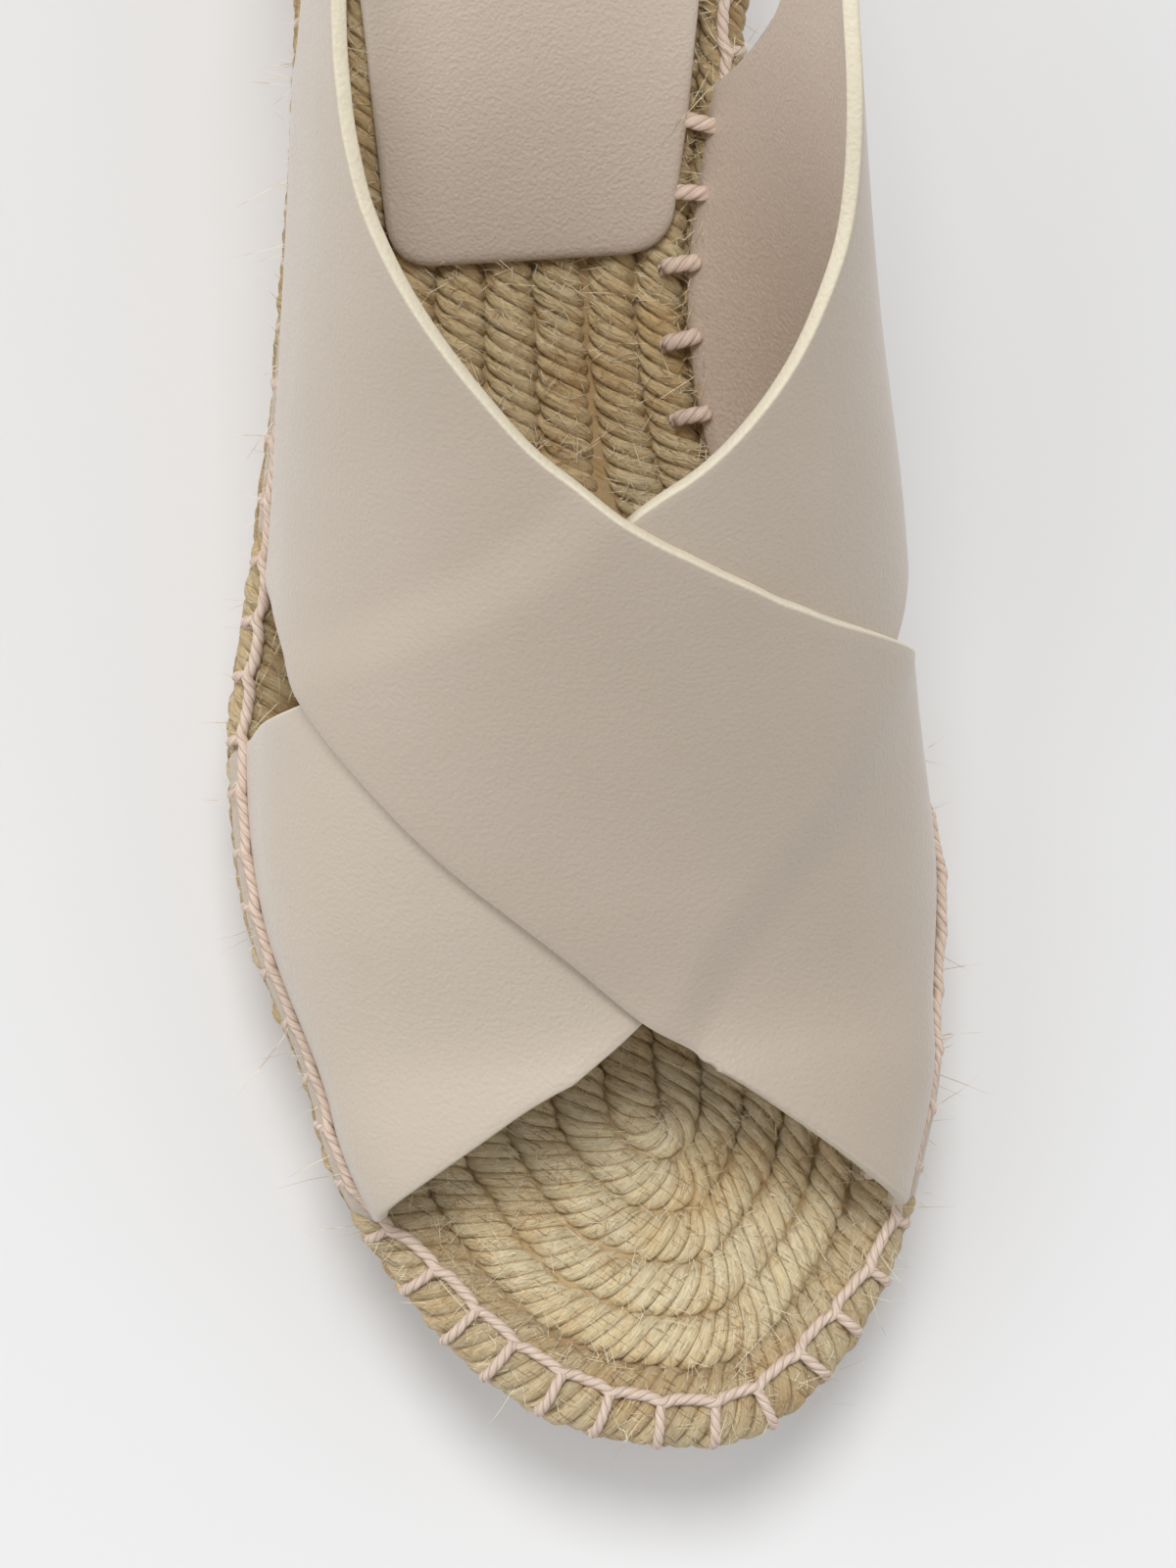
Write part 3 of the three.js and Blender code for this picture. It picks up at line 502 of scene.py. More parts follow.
# Foot bed
# One rope coiled flat from the middle outwards and pressed, with a thicker rope along the rim. The rows
# run round the toe and back along both sides, and the inner side's inmost rows end at the middle.
# The last colour given is the painted shade for the grooves.
bed_jute = jute_finish("jute_bed", linear(255, 250, 224), linear(255, 240, 202), linear(248, 224, 176),
                       linear(146, 112, 70))
CORE_LINE = np.array([(-79.4, 7.0), (-50.0, 7.0), (-10.0, 6.2), (20.0, 5.6), (60.0, 4.0), (95.0, 0.0)])
RIM_WIDTH, RIM_SHARE = 9.8, 0.24
RIM_NARROW = 2.2               # how much narrower the rim's rope is behind the arch on the outer side
BED_ROWS = 5
INNER_PITCH = 6.2
BED_STEP = 0.75
BED_LEAD = 11.0
RIM_LEAD = 12.5


def sole_edge(at, side):
    """The rim's outermost line."""
    return sole_line(at, side, RIM_OUT)[0]


def core_point(at):
    """The middle of the coil that belongs to a place on the rim."""
    y = np.maximum(LENGTH * (np.clip(at, 0, 0.93) - 0.5), CORE_LINE[0, 0])
    return np.column_stack([curve(CORE_LINE[:, 0], CORE_LINE[:, 1], y), y])


def coil_line(at, side, row):
    """Centre line of a row, 0 for the rim: its distance from the rim's edge grows by the row's pitch,
    towards the middle of the coil. Also gives the pitch and how far the line is from the middle."""
    edge, middle = sole_edge(at, side), core_point(at)
    width = np.linalg.norm(middle - edge, axis=1)
    narrow = RIM_NARROW * smooth((at - 0.44) / 0.14) * (side < 0)
    rim = np.minimum(RIM_SHARE * (width + narrow), RIM_WIDTH) - narrow
    even = (width - rim) / BED_ROWS
    fixed = smooth((at - 0.22) / 0.08) * (side > 0)
    pitch = even * (1 - fixed) + INNER_PITCH * fixed
    inward = rim / 2 if row == 0 else rim + (row - 0.5) * pitch
    line = edge + unit(middle - edge) * inward[:, None]
    return line, (rim if row == 0 else pitch), width - inward


def resample(path, values, step):
    """The same line with points an even step apart, and the values that go with them."""
    run = np.concatenate([[0], np.cumsum(np.linalg.norm(np.diff(path, axis=0), axis=1))])
    spots = np.linspace(0, run[-1], max(4, int(run[-1] / step)))
    pick = lambda v: np.interp(spots, run, v)
    return np.column_stack([pick(path[:, k]) for k in range(path.shape[1])]), [pick(v) for v in values]


ropes = []
at, side = round_the_sole(int(640 / BED_STEP))
line, rim, _ = coil_line(at, side, 0)
path = np.column_stack([line, bed_top(line[:, 1]) - BED / 2])
ropes.append(laid_rope(path, np.tile([0.0, 0.0, 1.0], (len(path), 1)), rim + 0.3, BED, RIM_LEAD, 5, 0.2,
                       True, 3, 2.3))
PAD_COVER = 0.69               # rows inside the pad's edge stop here, under the pad
for row in range(1, BED_ROWS + 1):
    end = 0.93 if row == 1 else PAD_COVER
    outer = np.linspace(end, 0, 500)
    inner = np.linspace(0, end, 500)[1:]
    at = np.concatenate([outer, inner])
    side = np.concatenate([-np.ones(len(outer)), np.ones(len(inner))])
    line, pitch, left = coil_line(at, side, row)
    enough = left > pitch * 0.3
    keep = np.flatnonzero(enough | (side < 0))
    gone = np.flatnonzero(~enough & (side > 0))
    if len(gone):
        keep = keep[keep < gone[0]]
    path, (pitch,) = resample(line[keep], [pitch[keep]], BED_STEP)
    sink = 2.2 * smooth(1 - np.arange(len(path))[::-1] * BED_STEP / 12) * (len(gone) > 0)
    z = bed_top(path[:, 1]) - BED / 2 - 0.35 - sink
    ropes.append(laid_rope(np.column_stack([path, z]), np.tile([0.0, 0.0, 1.0], (len(path), 1)),
                           pitch * 1.04, BED - 0.6, BED_LEAD, 5, 0.21, False, 10 + row, 2.8))
core_at, core_side = round_the_sole(300)
inset, _ = sole_line(core_at, core_side, np.full(300, RIM_OUT - 3.5))
spine, _ = spoke(core_at, core_side)
levels = [(0.0, -3.0), (0.5, -3.0), (1.0, -3.0), (1.0, -BED), (0.5, -BED), (0.0, -BED)]
rings = [spine + (inset - spine) * f for f, _ in levels]
core_points = np.vstack([np.column_stack([r, bed_top(r[:, 1]) + z]) for r, (_, z) in zip(rings, levels)])
core_faces = grid_faces(len(rings), 300)[:, ::-1]
# The core's points are all marked groove, so the finish lays the painted groove shade over all of it.
core = (core_points, core_faces, [], np.zeros((len(core_faces) * 4, 2)), np.ones(len(core_points)))
points, faces, caps, uv, groove = join([core, *ropes])
# The rim rope's points are marked 1, for its painted shade in the finish.
rim = np.zeros(len(points))
rim[len(core_points):len(core_points) + len(ropes[0][0])] = 1
make_piece("foot_bed_rope", points, faces, bed_jute, ("foot_bed",), caps, uv,
           {"groove": groove, "rim": rim})
bed_surface = np.vstack([r[0] for r in ropes])

# Heel pad
# A sheet of fine-grained leather with rounded front corners, glued over the coils under the heel.
PAD_FRONT, PAD_BACK, PAD_INSET, PAD_TAPER, PAD_CORNER, PAD_SKEW = 0.631, 0.84, 4.2, 8.6, 6.5, 3.0
PAD_WIDER = 2.3                # how much closer to the last's edge its outer side lies


# Painted light: paler leather colours that the bands take where the mark pale is high, for the light on those faces.
PAINTED_LIGHT_COLOURS = linear(198, 185, 170), linear(192, 179, 163)


def leather_finish(name, shade, deep, grain, depth, cut=None, lining=None):
    """Smooth aniline leather: a faint cloud of colour, fine pores between soft pebbles, and long shallow wrinkles. The
    marks cut and lining turn it to the raw cream edge and to the grained inner face, and a third mark lays paler
    colours on it as painted light."""
    material, tree, shader = finish_of(name, shade, 0.5)
    shader.inputs["Specular IOR Level"].default_value = 0.45
    shader.inputs["Sheen Weight"].default_value = 0.3
    shader.inputs["Sheen Roughness"].default_value = 0.45
    place = node(tree, "ShaderNodeTexCoord").outputs["Object"]
    cloud = noise(tree, place, 28.0, 3.0, 0.5)
    colour = ramp(tree, cloud, [(0.3, deep), (0.7, shade)])
    pebble = node(tree, "ShaderNodeTexVoronoi", {"feature": "SMOOTH_F1"}, Vector=place, Scale=grain).outputs[0]
    fine = noise(tree, place, grain * 1.7, 4.0, 0.6)
    rough = noise(tree, place, 160.0, 3.0, 0.6, (1.0, 2.6, 1.0))
    relief = bump(tree, pebble, 0.5, depth, bump(tree, fine, 0.4, depth * 0.7))
    relief = bump(tree, rough, 0.12, 0.0003, relief)
    if lining is not None:
        # Painted light: the paler colours mixed in where the mark pale is high.
        pale = node(tree, "ShaderNodeAttribute", {"attribute_name": "pale"}).outputs["Fac"]
        colour = blend(tree, "MIX", pale, colour, ramp(tree, cloud, [(0.3, PAINTED_LIGHT_COLOURS[1]), (0.7, PAINTED_LIGHT_COLOURS[0])]))
        inside = node(tree, "ShaderNodeAttribute", {"attribute_name": "lining"}).outputs["Fac"]
        nap = ramp(tree, noise(tree, place, 2400.0, 3.0), [(0.35, lining[1]), (0.65, lining[0])])
        colour = blend(tree, "MIX", inside, colour, nap)
    if cut is not None:
        edge = node(tree, "ShaderNodeAttribute", {"attribute_name": "cut"}).outputs["Fac"]
        raw = ramp(tree, noise(tree, place, 1500.0, 3.0), [(0.25, cut[1]), (0.75, cut[0])])
        colour = blend(tree, "MIX", edge, colour, raw)
    tree.links.new(colour, shader.inputs["Base Color"])
    tree.links.new(relief, shader.inputs["Normal"])
    return material


pad_leather = leather_finish("pad_leather", linear(203, 190, 176), linear(197, 184, 169), 2100.0, 0.00022)


def pad_outline(count):
    """The pad's edge, counter-clockwise from the front's outer corner: the front, the inner side, the
    heel and the outer side, with its corners rounded by blending the two edges that meet."""
    a = np.linspace(PAD_FRONT, 1, 400)
    wider = PAD_WIDER * (1 - smooth((a - HEEL_FAN) / (1 - HEEL_FAN)))
    taper = PAD_TAPER * np.clip((PAD_BACK - a) / (PAD_BACK - PAD_FRONT), 0, 1)
    inner = sole_line(a, np.ones(400), -PAD_INSET)[0]
    outer = sole_line(a, -np.ones(400), wider - PAD_INSET - taper)[0][::-1]
    front = inner[0, 1]
    left, right = outer[-1].copy(), inner[0].copy()
    right[1] = front - PAD_SKEW
    t = np.linspace(0, 1, 24)[:, None]

    def corner(p, q, r):
        return (1 - t) ** 2 * p + 2 * t * (1 - t) * q + t ** 2 * r
    sides = np.vstack([
        corner(left + [0, PAD_CORNER], left, left + [PAD_CORNER, 0]),
        corner(right - [PAD_CORNER, 0], right, inner[np.argmin(abs(inner[:, 1] - front + PAD_SKEW - PAD_CORNER))]),
        inner[inner[:, 1] > front - PAD_SKEW + PAD_CORNER],
        outer[outer[:, 1] > front + PAD_CORNER],
    ])
    path, _ = resample(np.vstack([sides, sides[:1]]), [], 0.5)
    pick = np.linspace(0, len(path) - 1, count, endpoint=False)
    return np.column_stack([np.interp(pick, np.arange(len(path)), path[:, k]) for k in range(2)])


PAD_COUNT = 420
outline = pad_outline(PAD_COUNT)
middle = np.column_stack([np.zeros(PAD_COUNT), np.clip(outline[:, 1], 60.0, 92.0)])
inward = unit(middle - outline)
room = np.linalg.norm(middle - outline, axis=1)
PAD_RINGS = [
    # mm in from the edge, height over the bed
    (0.0, 0.2), (-0.15, 0.8), (0.0, 1.35), (0.45, 1.75), (1.2, 1.9), (3.0, 1.95), (5.0, 2.0), (8.0, 2.05),
]
rings = []
for inset, z in PAD_RINGS:
    flat = outline + inward * inset
    rings.append(np.column_stack([flat, bed_top(flat[:, 1]) + z]))
for share in (0.6, 0.85, 1.0):
    flat = outline + inward * (room * share)[:, None]
    rings.append(np.column_stack([flat, bed_top(flat[:, 1]) + 2.05]))
under = [np.column_stack([outline + inward * d, bed_top((outline + inward * d)[:, 1]) + 0.1]) for d in (8.0, 1.0)]
under.insert(0, np.column_stack([middle, bed_top(middle[:, 1]) + 0.1]))
points = np.vstack([*under, *rings])
faces = grid_faces(len(under) + len(rings), PAD_COUNT)[:, ::-1]
make_piece("heel_pad_leather", points, faces, pad_leather, ("heel_pad",))

# Upper
# Two wide bands of smooth leather, cut with a raw cream edge. One starts on the inner side of the toe and
# lies over the other, and both run on as a sling that is joined behind the heel.
BAND_ROWS = [
    # low edge: share of the length, round the last; collar edge: the same. Round is 0 on the crest and
    # 1 at the sole on the side that the band starts from
    [(0.108, 1.06, 0.375, 1.06), (0.11, 0.75, 0.384, 0.8), (0.114, 0.46, 0.399, 0.54),
     (0.1225, 0.261, 0.42, 0.285), (0.134, 0.17, 0.431, 0.19), (0.1465, 0.124, 0.436, 0.15),
     (0.158, 0.099, 0.44, 0.126), (0.174, 0.0765, 0.4435, 0.105), (0.1915, 0.052, 0.447, 0.083),
     (0.199, 0.001, 0.4525, 0.05), (0.221, -0.085, 0.466, -0.022), (0.268, -0.183, 0.486, -0.105),
     (0.322, -0.318, 0.513, -0.205), (0.37, -0.443, 0.547, -0.298), (0.403, -0.545, 0.587, -0.402),
     (0.43, -0.645, 0.618, -0.478), (0.452, -0.745, 0.646, -0.541), (0.466, -0.9, 0.669, -0.58),
     (0.472, -1.06, 0.686, -0.604), (0.56, -1.06, 0.7, -0.618), (0.64, -1.06, 0.714, -0.631),
     (0.698, -1.06, 0.731, -0.642), (0.706, -0.925, 0.752, -0.65), (0.713, -0.85, 0.778, -0.647),
     (0.735, -0.805, 0.81, -0.629), (0.785, -0.775, 0.85, -0.592), (0.86, -0.71, 0.9, -0.54),
     (0.93, -0.65, 0.95, -0.494), (1, -0.623, 1, -0.473)],
    [(0.145, 1.06, 0.385, 1.06), (0.1475, 0.75, 0.387, 0.87), (0.157, 0.459, 0.403, 0.545),
     (0.177, 0.283, 0.43, 0.27), (0.2215, 0.092, 0.457, 0.14), (0.268, -0.04, 0.481, 0.067),
     (0.32, -0.18, 0.503, -0.04), (0.37, -0.34, 0.5215, -0.112), (0.412, -0.48, 0.5465, -0.194),
     (0.448, -0.62, 0.58, -0.288), (0.474, -0.8, 0.606, -0.36), (0.488, -1.06, 0.63, -0.413),
     (0.56, -1.06, 0.655, -0.46), (0.64, -1.06, 0.68, -0.504), (0.696, -1.06, 0.706, -0.545),
     (0.705, -0.98, 0.735, -0.58), (0.714, -0.9, 0.77, -0.602), (0.733, -0.825, 0.808, -0.606),
     (0.785, -0.785, 0.85, -0.583), (0.86, -0.712, 0.9, -0.537), (0.93, -0.65, 0.95, -0.494),
     (1, -0.623, 1, -0.473)],
]
LEATHER, BOND, CROSSING_RAMP = 2.0, 0.4, 9.0
CROSSING_END, CROSSING_FADE = 0.64, 0.06
HALF_GIRTH, FEATHER = 75.0, 1.2
GIRTH_ROUND, UNDER_ARC, HEM = 0.72, np.radians(60), 60.0
PEAK, PEAK_END, PEAK_FADE = 0.3, 0.38, 0.2
BAND_STEPS, BAND_LANES = 430, 44


def last_point(at, round_):
    """A place on the last: a quarter ellipse from its crest to its widest line, then an arc back in to
    the sole. Past the heel's end it goes on round the other side."""
    past = at > 1
    at, round_ = np.where(past, 2 - at, at), np.where(past, -round_, round_)
    side = np.where(round_ < 0, -1.0, 1.0)
    u = np.abs(round_)
    start, way = spoke(at, side)
    bulge = np.where(side < 0, section(BULGE_OUT, at), section(BULGE_IN, at))
    girth = np.where(side < 0, section(GIRTH_OUT, at), section(GIRTH_IN, at))
    rise = section(RISE, at)
    base = reach(at, side) - FEATHER
    psi = np.pi / 2 * (1 - np.minimum(u, GIRTH_ROUND) / GIRTH_ROUND)
    peak = 1 + PEAK * np.clip((PEAK_END - at) / PEAK_FADE, 0, 1)
    q = UNDER_ARC * np.clip(u - GIRTH_ROUND, 0, 1 - GIRTH_ROUND) / (1 - GIRTH_ROUND)
    turned_in = bulge * (np.cos(q) - np.cos(UNDER_ARC)) / (1 - np.cos(UNDER_ARC))
    r = np.where(u < GIRTH_ROUND, (base + bulge) * np.cos(psi) ** peak, base + turned_in)
    low = girth * (1 - np.sin(q) / np.sin(UNDER_ARC)) - HEM * np.maximum(0, u - 1)
    z = np.where(u < GIRTH_ROUND, girth + (rise - girth) * np.sin(psi), low)
    x = start[..., 0] + way[..., 0] * r + section(LEAN, at) * z / rise
    y = start[..., 1] + way[..., 1] * r
    return np.stack([x, y, bed_top(y) + z + GAP], -1)


def over_last(at, round_, lift):
    """A place lifted off the last along its outward normal."""
    step = 1e-3
    along = last_point(at + step, round_) - last_point(at - step, round_)
    around = last_point(at, round_ + step) - last_point(at, round_ - step)
    return last_point(at, round_) + unit(np.cross(around, along)) * lift[..., None]


def band_place(band, hand, share, lane):
    """A place on a band, at a share of its length and between its low edge (0) and its collar (1)."""
    table = np.array(BAND_ROWS[band])
    stations = np.arange(len(table))
    spot = share * (len(table) - 1)
    low_at, low_round, top_at, top_round = (curve(stations, table[:, k], spot) for k in range(4))
    at = low_at * (1 - lane) + top_at * lane
    return at, hand * (low_round * (1 - lane) + top_round * lane)


shares = np.arange(93)
there, back_again = np.linspace(0, 1, 47), np.linspace(1, 0, 47)
ring_at, ring_round = band_place(1, -1, np.concatenate([there, back_again]), np.repeat([0.0, 1.0], 47))
UNDER_EDGE = np.column_stack([ring_at * LENGTH, ring_round * HALF_GIRTH])


def outside_under_band(at, round_):
    """How far a place on the last lies outside the lower band, 0 over it: the least distance to the
    band's edge, laid out flat in mm."""
    p = np.stack([at * LENGTH, round_ * HALF_GIRTH], -1).reshape(-1, 2)
    a, b = UNDER_EDGE, np.roll(UNDER_EDGE, -1, 0)
    run = b - a
    near = np.full(len(p), np.inf)
    inside = np.zeros(len(p), bool)
    for k in range(len(a)):
        t = np.clip(((p - a[k]) @ run[k]) / max(run[k] @ run[k], MM), 0, 1)
        near = np.minimum(near, np.linalg.norm(p - a[k] - t[:, None] * run[k], axis=1))
        if a[k, 1] != b[k, 1]:
            crosses = (a[k, 1] > p[:, 1]) != (b[k, 1] > p[:, 1])
            inside ^= crosses & (p[:, 0] < a[k, 0] + run[k, 0] * (p[:, 1] - a[k, 1]) / run[k, 1])
    return np.where(inside, 0, near).reshape(np.shape(at))


# The band's outline in section, from the low edge over the outer face to the collar and back inside:
# mm in from the nearest edge (first number, negative for the low edge's half) and height in the wall
CUT = [(0.55, 2.0), (0.2, 1.88), (0.04, 1.6), (0.0, 1.0), (0.04, 0.4), (0.2, 0.12), (0.55, 0.0)]


def band(name, which, hand, lift_at, material):
    """A band as one closed shell: its outline in section carried along its length, over the last."""
    share = np.linspace(0, 1, BAND_STEPS)[:, None]
    ends = [last_point(*band_place(which, hand, share, np.array([[lane]]))) for lane in (0.0, 0.5, 1.0)]
    wide = (np.linalg.norm(ends[1] - ends[0], axis=-1) + np.linalg.norm(ends[2] - ends[1], axis=-1))
    inset = np.array([c[0] for c in CUT])
    wall = np.array([c[1] for c in CUT])
    span = np.linspace(0, 1, BAND_LANES)[1:-1]
    edge = inset[None, :] / wide
    first, last = edge[:, :1], 1 - edge[:, :1]
    lanes = np.hstack([edge[:, ::-1], first + (last - first) * span, 1 - edge, last + (first - last) * span])
    walls = np.concatenate([wall[::-1], np.full(len(span), LEATHER), wall, np.zeros(len(span))])
    at, round_ = band_place(which, hand, share, lanes)
    round_ = np.clip(round_, -1.02, 1.02)
    points = over_last(at, round_, lift_at(at, round_) + walls[None, :])
    faces = grid_faces(BAND_STEPS, lanes.shape[1])
    columns = lanes.shape[1]
    caps = [np.arange(columns)[::-1], np.arange(columns) + (BAND_STEPS - 1) * columns]
    n = len(CUT)
    lining = np.zeros(columns)
    lining[2 * n + len(span):] = 1
    lining[0], lining[2 * n + len(span) - 1] = 0.7, 0.7
    collar = np.zeros(columns)
    collar[n + len(span) + 1:n + len(span) + n - 1] = 1
    low = np.zeros(columns)
    low[1:n - 1] = 0.45
    cut = np.broadcast_to(np.maximum(collar, low), (BAND_STEPS, columns))
    # Painted light: the mark pale is high on the over band from its middle back along the outer side and sling, and on
    # the under band at the toe and along its sling; the under band's middle, shaded behind the crossing, keeps the
    # plain colour.
    front, behind, sling = (smooth((share - start) / 0.2) for start in ((0.42, 0.15, 0.5)))
    pale = np.broadcast_to(0.9 * front if which == 0 else 1 - behind + sling, cut.shape)
    return make_piece(name, points.reshape(-1, 3), faces if hand > 0 else faces[:, ::-1], material,
                      ("upper",), caps, None,
                      {"cut": cut.ravel(), "lining": np.broadcast_to(lining, cut.shape).ravel(),
                       "pale": pale.ravel()})


upper_leather = leather_finish(
    "upper_leather", linear(188, 174, 159), linear(182, 168, 152), 1900.0, 0.00018,
    (linear(226, 217, 194), linear(216, 206, 182)), (linear(216, 199, 182), linear(206, 188, 170)))


def over_lift(at, round_):
    """The upper band lies a wall's thickness, less its press, over the lower one, and settles beside it."""
    settled = smooth(outside_under_band(at, round_) / CROSSING_RAMP)
    return (LEATHER - BOND) * (1 - settled) * smooth((CROSSING_END - at) / CROSSING_FADE)


band("over_band", 0, 1, over_lift, upper_leather)
band("under_band", 1, -1, lambda at, round_: np.zeros(at.shape), upper_leather)

# Blanket stitch
# A twisted cotton cord that ties the leather to the rim rope. It runs on top of the rope round the toe and
# outside the leather along the bands, with a leg over the rope's side every seven millimetres.
STITCH_PITCH = 7.4
CORD = 1.55
CORD_LINE_OUTER = np.array([(0.0, -3.8), (0.09, -4.0), (0.125, -3.0), (0.142, -0.9), (0.155, 1.2), (0.37, 1.2),
                            (0.40, 0.6), (0.47, 0.6), (0.49, 1.5), (0.69, 1.5), (0.72, -0.8), (1.0, -1.5)])
CORD_LINE_INNER = np.array([(0.0, -3.8), (0.03, -3.6), (0.06, -2.6), (0.085, -1.0), (0.108, 0.3), (0.14, 1.0),
                            (0.22, 1.9), (0.36, 2.4), (0.40, 0.6), (0.47, 0.6), (0.49, 1.5), (0.69, 1.5), (0.72, -0.8),
                            (1.0, -1.5)])
LIPPED = [(-1, 0.146, 0.385), (-1, 0.488, 0.698), (1, 0.110, 0.375), (1, 0.488, 0.696)]


def cotton_finish():
    """Waxed cotton cord: dusty pink beige with a fine thread along its plies, and painted shade in the grooves between
    them.
    """
    material, tree, shader = finish_of("cotton_cord", linear(220, 200, 184), 0.75)
    strand = node(tree, "ShaderNodeUVMap", {"uv_map": "strand"}).outputs["UV"]
    thread = noise(tree, strand, 1.0, 3.0, 0.6, (0.6, 2.2, 1.0))
    colour = ramp(tree, thread, [(0.3, linear(194, 168, 150)), (0.7, linear(236, 218, 202))])
    # Painted shade in the grooves between the plies, where the mark groove is near 1.
    groove = node(tree, "ShaderNodeAttribute", {"attribute_name": "groove"}).outputs["Fac"]
    painted_groove_shade = node(tree, "ShaderNodeMapRange", Value=groove, i1=0.7, i2=1.0, i3=0.0, i4=0.6).outputs[0]
    colour = blend(tree, "MIX", painted_groove_shade, colour, linear(152, 124, 106))
    tree.links.new(colour, shader.inputs["Base Color"])
    tree.links.new(bump(tree, thread, 0.5, 0.00025), shader.inputs["Normal"])
    return material


def cord_out(at, side):
    """How far outside the last the cord lies."""
    outer = np.interp(at, CORD_LINE_OUTER[:, 0], CORD_LINE_OUTER[:, 1])
    inner = np.interp(at, CORD_LINE_INNER[:, 0], CORD_LINE_INNER[:, 1])
    return np.where(side < 0, outer, inner)


def beside_leather(at, side):
    """1 where a band's lower edge lies along the rim, else 0, with short slopes between."""
    value = np.zeros(len(at))
    for hand, start, stop in LIPPED:
        ramp_up = smooth((at - start + 0.01) / 0.015) * smooth((stop + 0.01 - at) / 0.015)
        value = np.maximum(value, ramp_up * (side == hand))
    return value


def rim_height(out):
    """Height of the rim rope's surface over the foot bed's plane, outwards over its round shoulder."""
    t = np.clip((out + 0.8) / (RIM_OUT + 0.8), 0, 1)
    return -BED / 2 * (1 - np.sqrt(np.maximum(0, 1 - t ** 2.6)))


count = int(640 / 0.55)
at, side = round_the_sole(count)
edge, _ = sole_line(at, side, 0.0)
run = np.concatenate([[0], np.cumsum(np.linalg.norm(np.diff(np.vstack([edge, edge[:1]]), axis=0), axis=1))])
stitches = int(round(run[-1] / STITCH_PITCH))
phase = run[:-1] / run[-1] * stitches
pulled = np.exp(-((phase - np.round(phase)) * STITCH_PITCH / 1.1) ** 2)
lip = beside_leather(at, side)
out = cord_out(at, side)
out = np.convolve(np.concatenate([out[-12:], out, out[:12]]), np.ones(25) / 25, "valid") + 0.55 * pulled * (1 - 0.4 * lip)
line, _ = sole_line(at, side, out)
z = bed_top(line[:, 1]) + rim_height(out) * (1 - 0.5 * lip) + 0.45 + 0.9 * lip + 0.2 * pulled
cords = [laid_rope(np.column_stack([line, z]), np.tile([0.0, 0.0, 1.0], (count, 1)), CORD, CORD, 4.6, 3, 0.2,
                   True, 60, 2.0)]
rng = np.random.default_rng(7)
LEG = np.linspace(0, 1, 22)
for k in range(stitches):
    i = np.argmin(np.abs(phase - k - rng.uniform(-0.06, 0.06)))
    a, s = np.full(22, at[i]), np.full(22, side[i])
    start = cord_out(at[i:i + 1], side[i:i + 1])[0] + 0.5
    tip = RIM_OUT - 0.1
    outward = start + (tip - start) * np.sin(np.pi / 2 * np.minimum(1, LEG / 0.75)) - 1.6 * np.clip(LEG - 0.8, 0, 1) * 5
    drop = bed_top(edge[i, 1]) + rim_height(np.minimum(outward, RIM_OUT)) + 0.35
    drop = drop - 2.6 * np.clip(LEG - 0.72, 0, 1) / 0.28 + 0.8 * lip[i] * (1 - LEG)
    base, normal = sole_line(a, s, outward)
    slant = rng.uniform(-0.9, 0.9) * LEG[:, None] * np.column_stack([normal[:, 1], -normal[:, 0]])
    path = np.column_stack([base + slant, drop])
    upward = np.column_stack([normal * LEG[:, None], 1.05 - LEG])
    cords.append(laid_rope(path, upward, CORD * 0.9, CORD * 0.85, 4.6, 3, 0.2, False, 61 + k, 2.0))
# Short legs inside, from the rope into the leather just over its base
for hand, first, last in LIPPED:
    run_at = np.linspace(first + 0.012, last - 0.012, max(2, int((last - first) * LENGTH / STITCH_PITCH)))
    for k, a in enumerate(run_at):
        t = np.linspace(0, 1, 16)
        outward = -4.9 + 4.5 * t
        lift = 0.1 + 1.5 * np.sin(np.pi * np.minimum(t * 0.72 + 0.04, 1)) - 1.2 * (t < 0.08)
        base, normal = sole_line(np.full(16, a), np.full(16, float(hand)), outward)
        base = base + rng.uniform(-1.0, 1.0) * t[:, None] * np.column_stack([normal[:, 1], -normal[:, 0]])
        path = np.column_stack([base, bed_top(base[:, 1]) + lift])
        cords.append(laid_rope(path, np.tile([0.0, 0.0, 1.0], (16, 1)), CORD * 1.4, CORD, 5.0, 3, 0.2, False,
                               200 + k, 2.0))
points, faces, caps, uv, groove = join(cords)
make_piece("blanket_stitch", points, faces, cotton_finish(), (), caps, uv, {"groove": groove})

# The bands' lower edges turn out over the rim rope's shoulder, under the cord
LIP = [(-0.4, 0.5), (0.3, 0.9), (1.0, 0.9), (1.6, 0.6), (2.1, 0.1), (2.5, -0.6), (2.6, -1.2), (2.4, -1.6),
       (2.1, -1.2), (1.7, -0.6), (1.2, -0.1), (0.3, 0.1), (-0.4, 0.1)]
lips = []
for hand, first, last in LIPPED:
    a = np.linspace(first, last, int((last - first) * LENGTH / 0.8))
    s = np.full(len(a), float(hand))
    taper = np.minimum(smooth((a - first) / 0.008), smooth((last - a) / 0.008))
    ring = []
    for out, z in LIP:
        flat, _ = sole_line(a, s, out * (0.35 + 0.65 * taper))
        ring.append(np.column_stack([flat, bed_top(flat[:, 1]) + z]))
    points = np.stack(ring, 1)
    faces = grid_faces(len(a), len(LIP))
    caps = [np.arange(len(LIP))[::-1], np.arange(len(LIP)) + (len(a) - 1) * len(LIP)]
    if hand < 0:
        faces, caps = faces[:, ::-1], [c[::-1] for c in caps]
    count = points.shape[0] * points.shape[1]
    lips.append((points.reshape(-1, 3), faces, caps, np.zeros((len(faces) * 4, 2)), np.zeros(count)))
points, faces, caps, uv, marks = join(lips)
make_piece("leather_lips", points, faces, upper_leather, (), caps, None,
           {"cut": marks, "lining": marks, "pale": marks})

# Loose fibres
# Fine hairs of jute that stand and lie on the ropes, a few of them past the rim's outline.
HAIRS = 15500


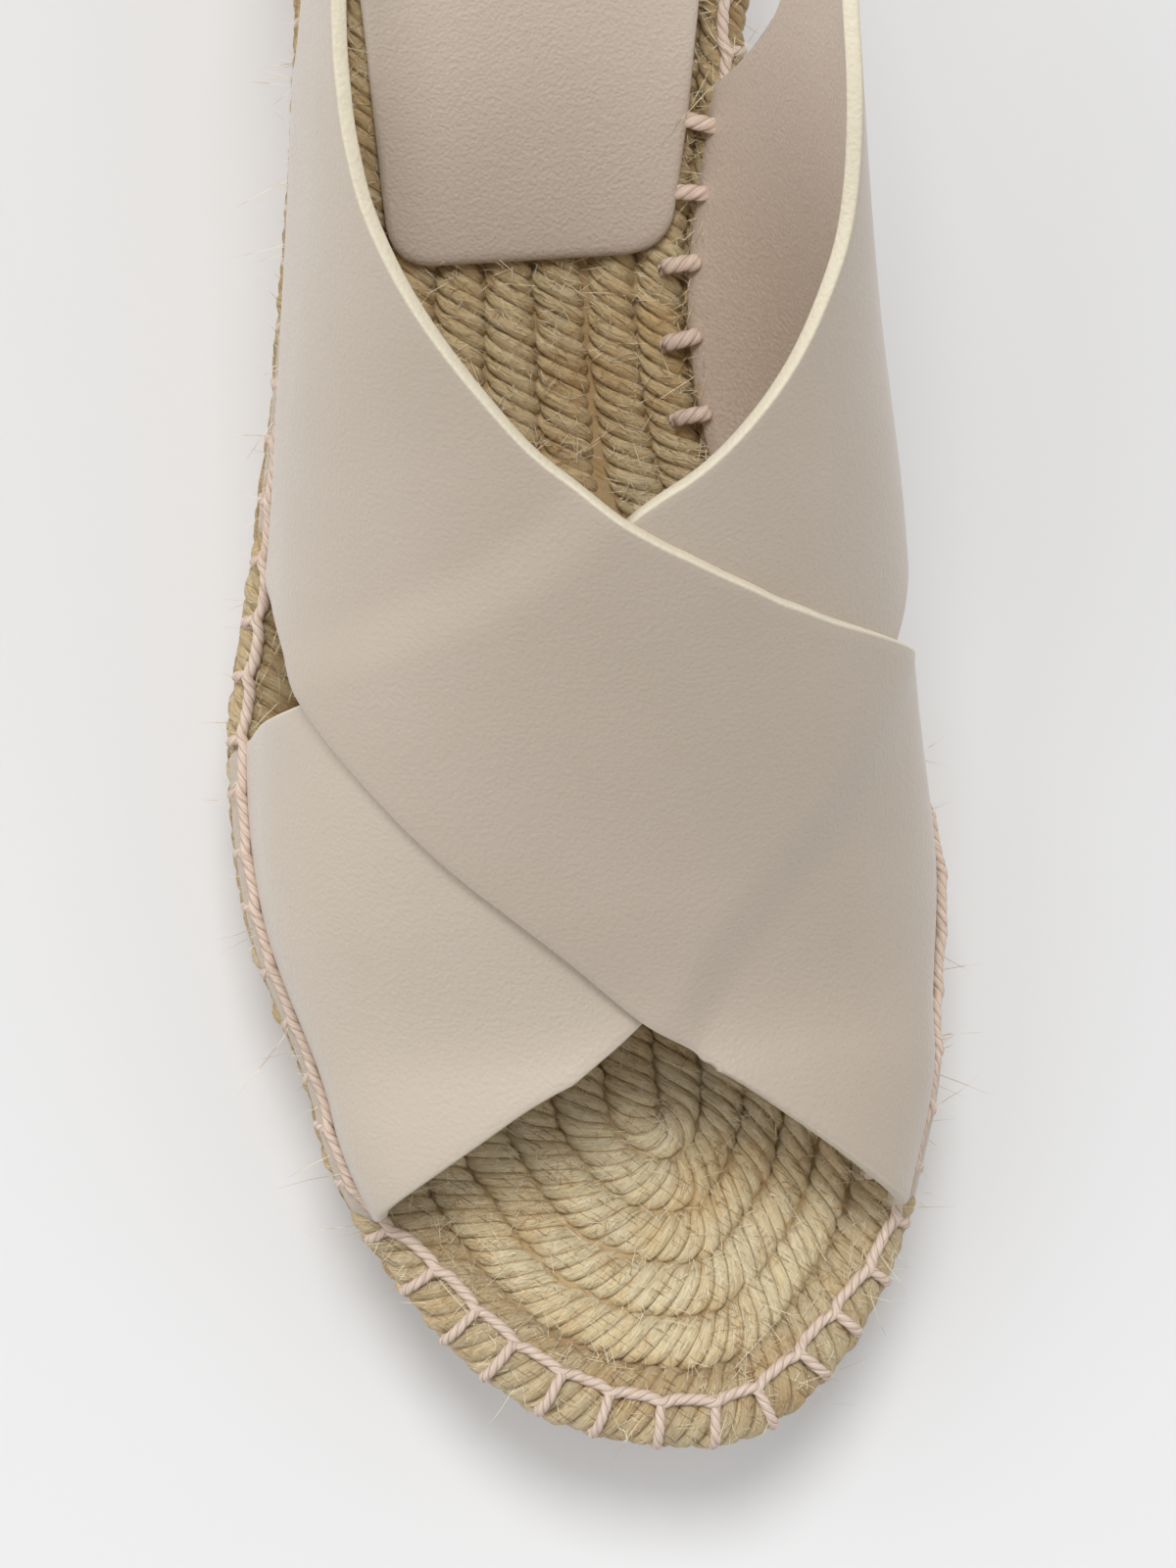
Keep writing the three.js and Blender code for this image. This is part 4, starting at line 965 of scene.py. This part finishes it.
def hairs(name, surface, count, seed, longest):
    """Thin three-sided spindles. Each starts at a random place on the ropes, leans a little off the
    surface and bends: four places along it, with a ring of three corners at the two inner ones."""
    rng = np.random.default_rng(seed)
    start = surface[rng.integers(0, len(surface), count)]
    heading = rng.uniform(0, 2 * np.pi, count)
    flat = np.column_stack([np.cos(heading), np.sin(heading), rng.normal(0.0, 0.08, count)])
    size = 1.0 + (longest - 1.0) * rng.uniform(0, 1, count) ** 1.7
    size = size * np.where(bed_top(start[:, 1]) - start[:, 2] > 0.7, 0.5, 1.0)
    bend = rng.normal(0, 0.75, (count, 3)) * [1, 1, 0.1]
    t = np.array([0.0, 0.33, 0.7, 1.0])
    middle = start[:, None] + (flat[:, None] * t[:, None] + bend[:, None] * (t * t)[:, None]) * size[:, None, None]
    middle[..., 2] += 0.05 + 0.5 * np.sin(np.pi * t)[None] * rng.uniform(0, 1, count)[:, None]
    side = unit(np.cross(flat, [0.0, 0.0, 1.0]))
    upward = np.cross(side, flat)
    thick = rng.uniform(0.03, 0.055, count)
    turn = 2 * np.pi * np.arange(3) / 3
    ring = (np.cos(turn)[None, :, None] * side[:, None] + np.sin(turn)[None, :, None] * upward[:, None])
    ring = ring * thick[:, None, None]
    points = np.concatenate([middle[:, :1], middle[:, 1:2] + ring, middle[:, 2:3] + ring, middle[:, 3:]], 1)
    first = np.arange(count)[:, None] * 8
    quads = np.array([[1, 2, 5, 4], [2, 3, 6, 5], [3, 1, 4, 6]])
    tips = np.array([[0, 2, 1], [0, 3, 2], [0, 1, 3], [7, 4, 5], [7, 5, 6], [7, 6, 4]])
    faces = (first[:, :, None] + quads[None]).reshape(-1, 4)
    ends = (first[:, :, None] + tips[None]).reshape(-1, 3)
    material, tree, shader = finish_of(name, linear(232, 212, 170), 0.7)
    place = node(tree, "ShaderNodeTexCoord").outputs["Object"]
    tone = ramp(tree, noise(tree, place, 260.0, 1.0), [(0.42, linear(196, 160, 108)), (0.52, linear(255, 244, 214))])
    tree.links.new(tone, shader.inputs["Base Color"])
    return make_piece(name, points.reshape(-1, 3), faces, material, (), list(ends))


open_bed = bed_surface[bed_surface[:, 2] > bed_top(bed_surface[:, 1]) - 1.3]
hairs("jute_hairs", open_bed, HAIRS, 11, 5.5)
